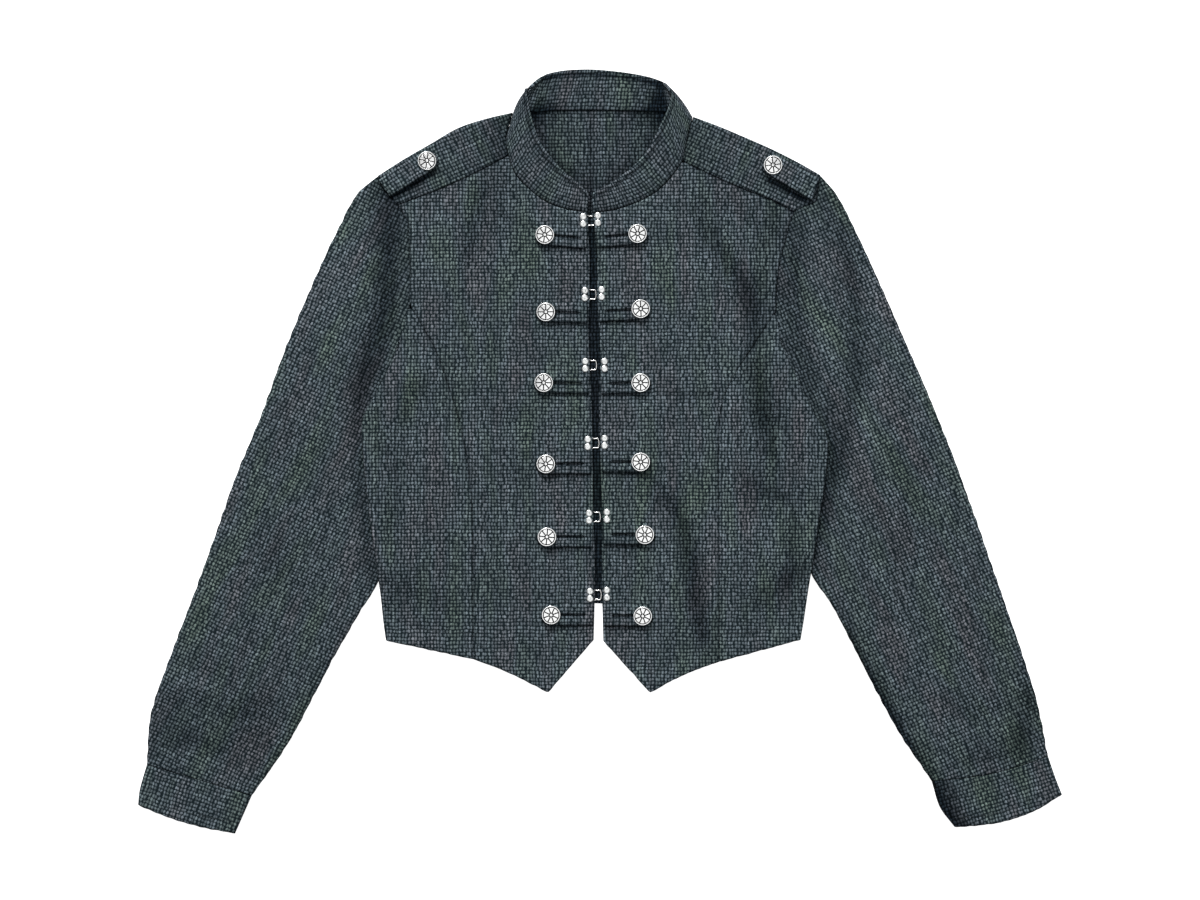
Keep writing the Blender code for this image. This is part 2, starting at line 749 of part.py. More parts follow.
def tab(name, tree, button, square):
    """Front strap: a square end at the front edge and a round end past its button."""
    button = Vector(button)
    square = Vector(square)
    axis = (button - square).normalized()
    normal = Vector((-axis.y, axis.x))
    length = (button - square).length

    def place(along, across):
        return tuple(square + axis * along + normal * across)

    outline = [place(length * k / 3, TAB_HALF) for k in range(3)]
    for k in range(TAB_STEPS + 1):
        angle = math.pi / 2 - math.pi * k / TAB_STEPS
        outline.append(place(length + TAB_HALF * math.cos(angle), TAB_HALF * math.sin(angle)))
    outline += [place(length * k / 3, -TAB_HALF) for k in (2, 1, 0)]
    far = length - BUTTON_RADIUS + TAB_SLIT_REACH
    half = TAB_SLIT / 2
    slit = [place(TAB_SLIT_END, -half), place(far, -half), place(far, half), place(TAB_SLIT_END, half)]
    return lay_strap(name, tree, outline, slit)


def shoulder_strap(side, tree):
    """Shoulder strap: sewn in the armhole, with a round end under its button."""
    top, low, button, half = SHOULDER_STRAP[side]
    middle = lerp(top, low, 0.5)
    axis = (Vector(button) - Vector(middle)).normalized()
    normal = Vector((-axis.y, axis.x))
    if normal.y < 0:
        normal = -normal
    arc = []
    for k in range(STRAP_STEPS + 1):
        angle = -math.pi / 2 + math.pi * k / STRAP_STEPS
        arc.append(tuple(Vector(button) + axis * half * math.cos(angle) + normal * half * math.sin(angle)))
    outline = [lerp(low, arc[0], k / 3) for k in range(3)] + arc
    outline += [lerp(arc[-1], top, k / 3) for k in range(1, 4)]
    return lay_strap("shoulder_strap_" + side, tree, outline, None)


def turned(name, profile, steps, key):
    """A turned piece: its profile, from the top centre outwards and down, with Screw."""
    mesh = bpy.data.meshes.new(name)
    bm = bmesh.new()
    points = [bm.verts.new((radius * MM, 0, height * MM)) for radius, height in profile]
    for a, b in zip(points, points[1:]):
        bm.edges.new((a, b))
    bm.to_mesh(mesh)
    bm.free()
    obj = add_object(name, mesh, key)
    screw = obj.modifiers.new("Turn", "SCREW")
    screw.steps = steps
    screw.render_steps = steps
    screw.use_merge_vertices = True
    screw.merge_threshold = 1e-5
    return obj


def button(name, tree, x, y):
    """Domed metal button on a strap."""
    ring = [(x, y)] + [
        (x + BUTTON_RADIUS * math.cos(a * math.pi / 4), y + BUTTON_RADIUS * math.sin(a * math.pi / 4))
        for a in range(8)
    ]
    seat = max(height_on(tree, *point) for point in ring) + SEAM_GAP
    obj = turned(name, BUTTON_PROFILE, BUTTON_STEPS, "silver")
    obj.location = Vector((x, y, seat)) * MM
    return obj


def stud_pair(name, tree, x, y):
    """Two rivet caps that touch, one above the other, on the front edge."""
    reach = STUD_SPACING / 2 + STUD_RADIUS
    seat = max(height_on(tree, x, y + reach * k / 2) for k in (-2, -1, 0, 1, 2)) + SEAM_GAP
    lower = turned(name, STUD_PROFILE, STUD_STEPS, "nickel")
    lower.location = Vector((x, y - STUD_SPACING / 2, seat)) * MM
    upper = turned(name + "_cutter", STUD_PROFILE, STUD_STEPS, "nickel")
    upper.location = Vector((x, y + STUD_SPACING / 2, seat)) * MM
    jacket.objects.unlink(upper)
    cutters.objects.link(upper)
    upper.hide_render = True
    upper.display_type = "WIRE"
    union = lower.modifiers.new("Upper cap", "BOOLEAN")
    union.operation = "UNION"
    union.object = upper
    return lower


def wire_eye(name, edge_x, y, height):
    """Wire eye: its legs run from under the right front to a bar in the opening."""
    start = edge_x - EYE_HIDDEN
    bar = edge_x + EYE_REACH
    near = EYE_BEND * (1 - math.cos(math.pi / 4))
    route = [
        (start, y - EYE_HALF - EYE_FLARE),
        (edge_x - EYE_NECK, y - EYE_HALF - EYE_FLARE / 2),
        (edge_x + EYE_NECK, y - EYE_HALF),
        (bar - EYE_BEND, y - EYE_HALF),
        (bar - near, y - EYE_HALF + near),
        (bar, y - EYE_HALF + EYE_BEND),
    ]
    route += [(x, 2 * y - other) for x, other in reversed(route)]
    curve = bpy.data.curves.new(name, "CURVE")
    curve.dimensions = "3D"
    curve.bevel_depth = EYE_WIRE * MM
    curve.bevel_resolution = 1
    curve.use_fill_caps = True
    spline = curve.splines.new("POLY")
    spline.points.add(len(route) - 1)
    for point, (x, py) in zip(spline.points, route):
        point.co = (x * MM, py * MM, height * MM, 1)
    return add_object(name, curve, "wire")


def build_cloth():
    """The panels, sleeves, cuffs and collar that are cut and sewn."""
    pieces = {}
    for name in ("right", "left"):
        for make in (back_panel, front_panel, side_panel, yoke, sleeve, cuff):
            obj = make(name)
            pieces[obj.name] = obj
    pieces["collar"] = collar()
    return pieces


def build_closures(pieces):
    """Straps, buttons, studs and wire eyes of the front."""
    trees = {name: surface_of(pieces["front_" + name]) for name in ("right", "left")}
    edges = {name: [row[2:4] for row in CHEST[name][-1:] + TRUNK[name]] for name in ("right", "left")}

    def edge_at(name, y):
        line = edges[name]
        for (x0, y0), (x1, y1) in zip(line, line[1:]):
            if y1 <= y <= y0:
                return x0 + (x1 - x0) * (y0 - y) / (y0 - y1)
        return line[0][0]

    for number, (rx, ry, lx, ly, right_stud, left_stud) in enumerate(CLOSURES, 1):
        for name, x, y, stud_y in (("right", rx, ry, right_stud), ("left", lx, ly, left_stud)):
            inward = -1 if name == "right" else 1
            lowest = stud_y - STUD_SPACING / 2 - STUD_RADIUS - TAB_HALF - LAY_GAP
            square = (edge_at(name, y) + inward * TAB_EDGE, min(y, lowest))
            strap = tab(f"tab_{name}_{number}", trees[name], (x, y), square)
            button(f"button_{name}_{number}", surface_of(strap), x, y)
            stud_x = edge_at(name, stud_y) + inward * STUD_INSET
            stud_pair(f"studs_{name}_{number}", trees[name], stud_x, stud_y)
        wire_eye(f"eye_{number}", edge_at("right", right_stud), right_stud, CLOTH + SEAM_GAP + EYE_WIRE)
    for name in ("right", "left"):
        strap = shoulder_strap(name, surface_of(pieces["yoke_" + name]))
        button("button_shoulder_" + name, surface_of(strap), *SHOULDER_STRAP[name][2])


for old in list(bpy.data.objects):
    bpy.data.objects.remove(old)
jacket = bpy.data.collections.new("cropped_jacket")
cutters = bpy.data.collections.new("cutters")
bpy.context.scene.collection.children.link(jacket)
bpy.context.scene.collection.children.link(cutters)
build_closures(build_cloth())
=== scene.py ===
import math

import bpy
import numpy as np
from mathutils import Euler, Matrix, Vector
from mathutils.bvhtree import BVHTree


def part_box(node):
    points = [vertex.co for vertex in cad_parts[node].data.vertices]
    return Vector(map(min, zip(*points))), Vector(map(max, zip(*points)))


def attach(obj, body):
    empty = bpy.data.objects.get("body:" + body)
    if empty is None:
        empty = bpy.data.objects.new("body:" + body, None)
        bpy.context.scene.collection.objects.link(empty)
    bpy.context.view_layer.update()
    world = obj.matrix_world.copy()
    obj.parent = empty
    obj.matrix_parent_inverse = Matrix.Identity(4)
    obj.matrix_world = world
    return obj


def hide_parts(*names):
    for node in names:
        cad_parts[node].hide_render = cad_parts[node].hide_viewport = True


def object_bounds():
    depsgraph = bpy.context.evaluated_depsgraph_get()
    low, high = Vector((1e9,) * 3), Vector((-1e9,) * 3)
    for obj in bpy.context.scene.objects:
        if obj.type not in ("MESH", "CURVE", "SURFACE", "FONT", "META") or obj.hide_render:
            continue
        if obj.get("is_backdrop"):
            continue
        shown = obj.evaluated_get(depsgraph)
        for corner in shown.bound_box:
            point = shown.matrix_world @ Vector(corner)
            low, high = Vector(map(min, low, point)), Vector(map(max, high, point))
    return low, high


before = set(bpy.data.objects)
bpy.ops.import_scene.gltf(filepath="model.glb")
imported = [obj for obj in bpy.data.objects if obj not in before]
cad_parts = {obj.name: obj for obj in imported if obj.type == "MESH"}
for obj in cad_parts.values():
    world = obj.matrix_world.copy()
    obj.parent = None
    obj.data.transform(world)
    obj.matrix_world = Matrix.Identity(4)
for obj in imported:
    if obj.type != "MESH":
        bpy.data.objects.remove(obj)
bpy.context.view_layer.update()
bpy.ops.object.select_all(action="DESELECT")


# ---------------------------------------------------------------------------
# The table, the lamps and the camera. The jacket lies on a plain white table
# under two soft lamps, and the camera looks straight down on it. The table shows
# only its upper face, so the jacket can be looked at from below.
# ---------------------------------------------------------------------------

VIEW_WIDTH = 1.1556         # of the table that the picture shows, in metres
VIEW_CENTRE_Y = 0.0014
LENS = 85.0
SENSOR = 36.0
TABLE_GAP = 0.0002          # below the jacket's underside, so the two faces don't coincide
TABLE_WIDTH = 16


def new_material(name):
    """A new material, its node tree and its Principled shader."""
    made = bpy.data.materials.new(name)
    made.use_nodes = True
    return made, made.node_tree, made.node_tree.nodes["Principled BSDF"]


def fill(tree, made, inputs):
    """Give inputs of a node their values, or the sockets that feed them."""
    for key, value in inputs.items():
        if isinstance(value, bpy.types.NodeSocket):
            tree.links.new(value, made.inputs[key])
        else:
            made.inputs[key].default_value = value


def node(tree, kind, inputs=(), **settings):
    """Add a shader node with its settings and inputs."""
    made = tree.nodes.new(kind)
    for key, value in settings.items():
        setattr(made, key, value)
    fill(tree, made, dict(inputs))
    return made


bpy.ops.mesh.primitive_plane_add(size=TABLE_WIDTH, location=(0, 0, -TABLE_GAP))
table = bpy.context.object
table.name = "studio_table"
paint, tree, white = new_material("table_white")
fill(tree, white, {
    "Base Color": (0.93, 0.93, 0.925, 1),
    "Roughness": 0.8,
    "Emission Color": (1, 1, 1, 1),
    "Emission Strength": 0.80,
})
back = node(tree, "ShaderNodeNewGeometry").outputs["Backfacing"]
clear = node(tree, "ShaderNodeBsdfTransparent").outputs[0]
either = node(tree, "ShaderNodeMixShader", {0: back, 1: white.outputs[0], 2: clear})
fill(tree, tree.nodes["Material Output"], {0: either.outputs[0]})
table.data.materials.append(paint)
table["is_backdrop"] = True


def lamp(name, place, aim, size, watts):
    """A square soft lamp at a place, turned to the point it lights."""
    data = bpy.data.lights.new(name, "AREA")
    data.size = size
    data.energy = watts
    made = bpy.data.objects.new(name, data)
    made.location = place
    made.rotation_euler = (Vector(aim) - Vector(place)).to_track_quat("-Z", "Y").to_euler()
    bpy.context.scene.collection.objects.link(made)


lamp("window_lamp", (-0.9, 4.5, 2.9), (0, 0, 0), 1.6, 345)
lamp("overhead_lamp", (0.3, -0.4, 4.2), (0, 0, 0), 3.0, 30)
world = bpy.data.worlds.new("studio")
world.use_nodes = True
world.node_tree.nodes["Background"].inputs["Color"].default_value = (0.97, 0.98, 1.0, 1)
world.node_tree.nodes["Background"].inputs["Strength"].default_value = 0.30
bpy.context.scene.world = world
bpy.context.scene.view_settings.view_transform = "Standard"

camera = bpy.data.objects.new("camera", bpy.data.cameras.new("camera"))
camera.data.lens = LENS
camera.data.sensor_width = SENSOR
camera.location = (0, VIEW_CENTRE_Y, LENS / SENSOR * VIEW_WIDTH)
bpy.context.scene.collection.objects.link(camera)
bpy.context.scene.camera = camera


# ---------------------------------------------------------------------------
# Front panels. Charcoal tweed cut on the straight grain, from the yoke seam to a
# pointed hem, with the front edge turned back as a facing that is stitched down.
# ---------------------------------------------------------------------------

# X runs to the wearer's left, Y to the collar and Z up from the table. Pieces are
# measured in millimetres, and MM brings them to metres.
MM = 0.001
SIDES = ("right", "left")   # as the wearer has them
CLOTH = 1.8                 # the tweed's thickness
FLAT = 5.0                  # height of the face of two layers
NECK_RISE = 1.9             # how much higher the fronts lie round the neck
NECK_CENTRE = (-1.0, 300.0)
NECK_RADIUS = 84.0
NECK_SPREAD = 62.0
NECK_END = 227.0            # Y where the neckline gives way to the front edge
SEAM_ROLL = (1.2, 2.6)      # how deep and how wide cloth rolls down into a seam
EDGE_ROLL = (0.7, 1.6)      # the same at a free edge
FACING = {"right": 37.2, "left": 35.2}  # width of the turned-back front edge
FACING_STEP = 0.45          # how much the turned-back cloth lifts the front
EDGE_STITCH = 4.3
HEM_STITCH = 17.5
HEM_STEP = 0.4
EDGE_WANDER = 0.4           # how far the edges wander in and out
PUCKER = 0.16               # height of the puckers along a seam
STITCH_PITCH = 3.9
STITCH_LENGTH = 3.0
STITCH_SIDES = 6
THREAD = 0.24               # radius of the sewing thread
WAVES = ((0.34, 70), (0.16, 26), (0.05, 9))  # height and length of the cloth's unevenness
# Distances from an edge at which a sheet has rows of points, so that it rolls smoothly.
SEAM_ROWS = (0.0, 0.8, 1.5, 2.6)
HEM_ROWS = (0.0, 0.5, 1.1, 2.0, 6, 11, HEM_STITCH - 0.9, HEM_STITCH, HEM_STITCH + 0.9)
FACING_COLUMN = -15         # columns and row of a front's points that lie under its stitches
EDGE_COLUMN = -6
HEM_ROW = -8
GROUND = (0.0050, 0.0110, 0.0145)       # colour of the dark yarns and of the pale slubs
SLUB = (0.246, 0.287, 0.298)

# Columns: front yoke seam x, y; shoulder fold x, y; back yoke seam x, y.
YOKE = {
    "right": (
        (-88, 284, -84, 326, -86, 315),
        (-110, 273, -112, 319.5, -109, 305),
        (-132, 262, -137, 311, -131, 290),
        (-154, 252, -163, 296, -153, 274),
        (-176, 244, -189, 281, -175, 256),
        (-195, 237, -214, 265, -195, 237),
    ),
    "left": (
        (79, 279, 89.5, 322, 92, 313),
        (100, 269, 115, 312.5, 110, 298),
        (122, 259, 139, 302.5, 130, 285),
        (144, 250, 164, 291.5, 151, 270),
        (166, 241, 188, 279.5, 171, 252),
        (187, 230, 212, 266, 187, 230),
    ),
}
# Columns: armhole x, y; neckline x, y.
CHEST = {
    "right": (
        (-195, 237, -88, 284),
        (-190, 229, -81, 266),
        (-185, 221, -70, 254),
        (-184, 203, -54, 241.5),
        (-183, 186, -35, 233.5),
        (-183, 165, -22, 231),
        (-183, 143, -12, 230),
    ),
    "left": (
        (187, 230, 79, 279),
        (183, 219, 74, 271),
        (180, 208, 67, 262),
        (176, 192, 56, 251),
        (172, 175, 39, 241),
        (170, 155, 17, 233),
        (169, 135, -7.5, 229),
    ),
}
# Columns: princess seam x, y; front edge x, y; side fold x, y; back seam x, y; height of
# the layer under the side fold.
TRUNK = {
    "right": (
        (-171, 121, -11, 212, -189, 118, -189, 118, 1.3),
        (-158, 97, -10, 190, -197, 94, -197, 94, 3.2),
        (-150, 75, -10, 168, -206, 74, -200, 76, 6.8),
        (-143, 55, -10, 146, -216, 55, -199, 52, 7.2),
        (-136, 30, -11, 120, -228, 31, -182, 30, 5.4),
        (-129, 0, -10, 92, -228, 4, -179, 0, 5.4),
        (-124, -40, -8, 50, -224, -40, -178, -40, 5.4),
        (-122, -80, -7, 0, -219, -80, -177, -80, 5.4),
        (-122, -118, -6, -60, -213.5, -118, -177, -118, 5.4),
        (-122, -140, -5, -105, -211, -140, -177, -140, 1.0),
        (-122, -168, -5, -140, -208.5, -164, -177, -160, 0),
        (-122, -200, -6, -181, -206, -182, -177, -177, 0),
    ),
    "left": (
        (160, 121, -5, 210, 171, 121, 171, 121, 1.3),
        (151, 107, -3, 190, 173, 107, 173, 107, 3.2),
        (140, 90, -3, 168, 181, 89, 177, 88, 6.8),
        (130, 75, -3, 146, 189, 71, 177, 56, 6.8),
        (118, 48, -1, 120, 203, 42, 162, 38, 5.4),
        (114.5, 15, 0, 92, 218, 13, 158, 12, 5.4),
        (114, -20, -1, 50, 217, -22, 160, -20, 5.4),
        (114.5, -60, 0, 0, 211, -62, 162, -60, 5.4),
        (115, -112, 2, -60, 203.5, -112, 163, -112, 5.4),
        (115, -136, 2, -105, 200, -136, 163, -136, 1.0),
        (115, -164, 2, -140, 196.5, -160, 163, -156, 0),
        (115, -202, 3, -182, 193, -181, 163, -175, 0),
    ),
}
HEM_POINT = {"right": (-50, -232), "left": (48, -232)}
# Painted shade in the seams of the fronts: at the armhole, at the princess seams and at the yoke seam.
ARMHOLE_SHADE = 0.58
SEAM_SHADE = {"right": 0.58, "left": 0.30}      # painted shade in the princess seams
YOKE_SEAM_SHADE = {"right": 0.62, "left": 0.85}
# Creases of the body: depth, half width and the points that each runs through.
BODY_CREASES = (
    (-1.15, 12, ((94, 232), (104, 209), (118, 190), (134, 166), (144, 140), (149, 104), (150, 70),
                 (158, 34), (168, -6))),
    (0.9, 9, ((118, 222), (134, 200), (152, 176), (160, 150))),
    (0.8, 12, ((124, 140), (128, 95), (128, 50), (132, 20))),
    (0.7, 10, ((168, 170), (170, 130), (176, 90))),
    (0.7, 6, ((70, 224), (73, 190), (75, 130), (77, 70))),
    (-1.3, 11, ((42, -22), (58, -40), (77, -66), (87, -108), (91, -150), (104, -194), (108, -204))),
    (0.9, 11, ((56, -70), (66, -95), (68, -130), (74, -165))),
    (0.6, 12, ((106, -50), (113, -100), (116, -150))),
    (-0.8, 5, ((58, 58), (84, 51), (118, 55))),
    (0.5, 6, ((68, 66), (90, 62), (112, 65))),
    (-1.0, 9, ((138, -26), (160, -40), (184, -46))),
    (-0.9, 9, ((190, -50), (181, -90), (184, -122), (204, -97))),
    (-0.7, 10, ((146, -150), (170, -132), (190, -116))),
    (0.8, 12, ((150, -64), (164, -86), (166, -112))),
    (-1.1, 9, ((-110, 268), (-116, 238), (-126, 188), (-128, 172))),
    (0.5, 14, ((-144, 236), (-150, 200), (-150, 160))),
    (0.7, 7, ((-131, 20), (-131, -40), (-130, -120), (-130, -168))),
    (-0.3, 14, ((-190, -126), (-160, -141), (-134, -154))),
    (-0.6, 9, ((-86, -4), (-80, -18), (-74, -33))),
    (-0.5, 9, ((-62, 44), (-80, 36), (-100, 40))),
    (0.6, 16, ((-172, 40), (-176, -20), (-172, -80))),
    (-0.6, 10, ((-206, 20), (-196, -30), (-200, -90))),
)
# Painted shadows that the creases throw on the body, in the same columns.
BODY_SHADOWS = (
    (0.28, 15, ((172, 240), (166, 200), (158, 160), (156, 120))),
    (0.20, 16, ((110, 250), (134, 236), (158, 222), (176, 216))),
    (0.16, 14, ((132, 196), (144, 172), (150, 140))),
    (0.26, 11, ((-84, 282), (-93, 252), (-100, 214))),
    (0.12, 12, ((96, 240), (104, 220), (112, 200))),
    (0.14, 12, ((84, -72), (92, -118), (104, -190))),
    (0.12, 16, ((160, 60), (172, 10), (180, -40))),
)
SHADE_COLOUR = (1.0, 0.965, 0.93)       # shade takes less of the blue
DARKEST = 0.92                          # limit of the shade inside the neck
TURNED_SHADE = 0.5                      # painted shade where cloth turns on edge
CREASE_SHADE = (0.40, 0.09)             # painted shade to each mm of a trough, painted highlight to each mm of a ridge
# Columns: right button x, y; left button x, y; right stud y; left stud y.
CLOSURES = (
    (-53, 208, 36, 209, 222, 223),
    (-52, 134, 39, 137, 151, 152),
    (-54, 66, 39, 66, 83, 83),
    (-52, -12, 39, -10, 8, 9),
    (-51, -82, 43, -80, -63, -62),
    (-47, -157, 41, -158, -138, -137),
)
TAB_HALF = 10.2             # half the width of a front strap


def smooth(t):
    """Ease from 0 to 1."""
    t = np.clip(t, 0, 1)
    return t * t * (3 - 2 * t)


def ripple(x, y, length, seed):
    """Unevenness from about -1 to 1: six long waves in seeded directions."""
    random = np.random.default_rng(seed)
    total = 0.0
    for _ in range(6):
        angle = random.uniform(0, math.tau)
        wave = math.tau / (length * random.uniform(0.7, 1.7))
        turn = x * math.cos(angle) + y * math.sin(angle)
        total = total + np.sin(wave * turn + random.uniform(0, math.tau))
    return total / 3


def waves(x, y, seed):
    """Height of the cloth's unevenness at plan points."""
    return sum(height * ripple(x, y, length, seed + k) for k, (height, length) in enumerate(WAVES))


def creased(x, y, creases):
    """Height of a list of creases at plan points; each one dies out towards its ends."""
    total = np.zeros_like(x)
    for depth, width, route in creases:
        route = np.array(route, float)
        steps = np.diff(route, axis=0)
        lengths = np.linalg.norm(steps, axis=1)
        best = np.full_like(x, 1e9)
        share = np.zeros_like(x)
        for k, (start, step) in enumerate(zip(route, steps)):
            t = np.clip(((x - start[0]) * step[0] + (y - start[1]) * step[1]) / lengths[k] ** 2, 0, 1)
            away = np.hypot(x - start[0] - step[0] * t, y - start[1] - step[1] * t)
            nearer = away < best
            best = np.where(nearer, away, best)
            share = np.where(nearer, (lengths[:k].sum() + t * lengths[k]) / lengths.sum(), share)
        fade = smooth(share / 0.2) * smooth((1 - share) / 0.2)
        total += depth * np.exp(-((best / width) ** 2)) * (0.4 + 0.6 * fade)
    return total


def body_relief(x, y):
    """Creases and unevenness of the fronts and sides."""
    return creased(x, y, BODY_CREASES) + waves(x, y, 11)


def body_top(x, y):
    """Height of the face of the fronts."""
    neck = np.hypot(x - NECK_CENTRE[0], y - NECK_CENTRE[1])
    rise = NECK_RISE * smooth(1 - (neck - NECK_RADIUS) / NECK_SPREAD)
    return FLAT + rise + body_relief(x, y)


def hollow(relief):
    """Painted shade in the troughs of the creases, and painted highlight on their ridges."""
    return CREASE_SHADE[0] * np.maximum(-relief, 0) - CREASE_SHADE[1] * np.maximum(relief, 0)


def body_shade(x, y):
    """Shade of the creases of the fronts and sides."""
    return hollow(creased(x, y, BODY_CREASES)) + creased(x, y, BODY_SHADOWS)


def spread(length, near, far, count):
    """Distances along a length: near from its start, far from its end, count cells between."""
    near = np.array(near, float)
    far = np.array(far, float)
    scale = min(1.0, length / 2 / (near[-1] + far[-1]))
    near = near * scale
    far = length - far[::-1] * scale
    return np.concatenate((near, np.linspace(near[-1], far[0], count + 1)[1:-1], far))


def loft(sections, where):
    """Smooth rows through sections, at the places given in counts of sections."""
    p = np.array(sections, float)
    gap = np.linalg.norm(np.diff(p, axis=0), axis=2).mean(axis=1)[:, None, None]
    slope = np.diff(p, axis=0) / gap
    mean = (slope[:-1] * gap[1:] + slope[1:] * gap[:-1]) / (gap[1:] + gap[:-1])
    tangent = np.concatenate((slope[:1], mean, slope[-1:]))
    k = np.minimum(np.floor(where).astype(int), len(p) - 2)
    t = (where - k)[:, None, None]
    h = gap[k]
    start = (1 + 2 * t) * (1 - t) ** 2 * p[k] + t * (1 - t) ** 2 * h * tangent[k]
    return start + t * t * (3 - 2 * t) * p[k + 1] + t * t * (t - 1) * h * tangent[k + 1]


def curve(points, steps=8):
    """A smooth line through plan points, with steps to each stretch."""
    points = np.array(points, float)[:, None, :]
    return loft(points, np.linspace(0, len(points) - 1, (len(points) - 1) * steps + 1))[:, 0]


def run_along(points):
    """Distance of each point of a line from its start, or the mean distance of each row of a grid."""
    step = np.linalg.norm(np.diff(points, axis=0), axis=-1)
    return np.concatenate(((0,), np.cumsum(step.reshape(len(step), -1).mean(axis=1))))


def marks(sections, near, far, count):
    """Places for loft at distances along the sections' mean line."""
    run = run_along(np.array(sections, float))
    return np.interp(spread(run[-1], near, far, count), run, np.arange(len(run)))


def at(line, places, run=None):
    """Points of a line at shares of its count, or at distances along it if its run is given."""
    run = np.linspace(0, 1, len(line)) if run is None else run
    return np.stack([np.interp(places, run, line[:, k]) for k in range(line.shape[1])], -1)


def panel(top, bottom, left, right, across, down):
    """Plan points of a panel between four edges; across and down are spread's last three values."""
    run = run_along(np.stack((left, right), 1))
    rows = []
    for v in np.interp(spread(run[-1], *down), run, np.linspace(0, 1, len(run))):
        start = at(left, v)
        end = at(right, v)
        width = math.dist(start, end)
        u = (spread(width, *across) / width)[:, None]
        edge = at(top, u[:, 0]) * (1 - v) + at(bottom, u[:, 0]) * v
        upper = top[0] + (top[-1] - top[0]) * u
        lower = bottom[0] + (bottom[-1] - bottom[0]) * u
        rows.append(start + (end - start) * u + edge - upper * (1 - v) - lower * v)
    return np.array(rows)


def reach(grid, axis):
    """Distance of each point of a grid from its first and from its last edge along an axis."""
    step = np.linalg.norm(np.diff(grid, axis=axis), axis=2)
    start = np.zeros_like(step.take([0], axis))
    run = np.concatenate((start, np.cumsum(step, axis=axis)), axis=axis)
    return run, run.take([-1], axis) - run


def rolled(distance, roll):
    """How far cloth has rolled down at a distance from its edge."""
    depth, width = roll
    return depth * (1 - smooth(distance / width)) ** 1.5


def groove(distance, depth=0.45, width=0.9):
    """The dip along a line of stitches."""
    return depth * np.exp(-((distance / width) ** 2))


def seam_line(distance, darkness=0.6):
    """Shade of a seam or a row of stitches on the underside, at a distance from it."""
    return darkness * np.exp(-((distance / 1.4) ** 2))


def turned(x, y, degrees):
    """Grain map of a piece whose straight grain is turned by an angle."""
    angle = math.radians(degrees)
    return np.dstack((x * math.cos(angle) + y * math.sin(angle), y * math.cos(angle) - x * math.sin(angle)))


def maths(tree, operation, a, b=0.0, c=0.0):
    """The result of a Math node."""
    return node(tree, "ShaderNodeMath", {0: a, 1: b, 2: c}, operation=operation).outputs[0]


def remap(tree, value, old, new):
    """A value taken from an old range to a new one."""
    inputs = {0: value, 1: old[0], 2: old[1], 3: new[0], 4: new[1]}
    return node(tree, "ShaderNodeMapRange", inputs).outputs[0]


def noise(tree, place, scale, detail, **more):
    """The outputs of a Noise Texture."""
    inputs = {"Vector": place, "Scale": scale, "Detail": detail, **more}
    return node(tree, "ShaderNodeTexNoise", inputs).outputs


def tinted(tree, colour, tint):
    """One colour multiplied by another."""
    inputs = {"Factor": 1.0, 6: colour, 7: tint}
    return node(tree, "ShaderNodeMix", inputs, data_type="RGBA", blend_type="MULTIPLY").outputs[2]


def bumped(tree, height, strength, distance):
    """Normals that follow a height."""
    inputs = {"Strength": strength, "Distance": distance, "Height": height}
    return node(tree, "ShaderNodeBump", inputs).outputs[0]


def new_group(name, inputs, outputs):
    """A shader node group with named inputs and outputs, each a name, a kind and a default."""
    group = bpy.data.node_groups.new(name, "ShaderNodeTree")
    for way, sockets in (("INPUT", inputs), ("OUTPUT", outputs)):
        for label, kind, value in sockets:
            socket = group.interface.new_socket(label, in_out=way, socket_type="NodeSocket" + kind)
            if value is not None:
                socket.default_value = value
    return group, group.nodes.new("NodeGroupInput").outputs, group.nodes.new("NodeGroupOutput")


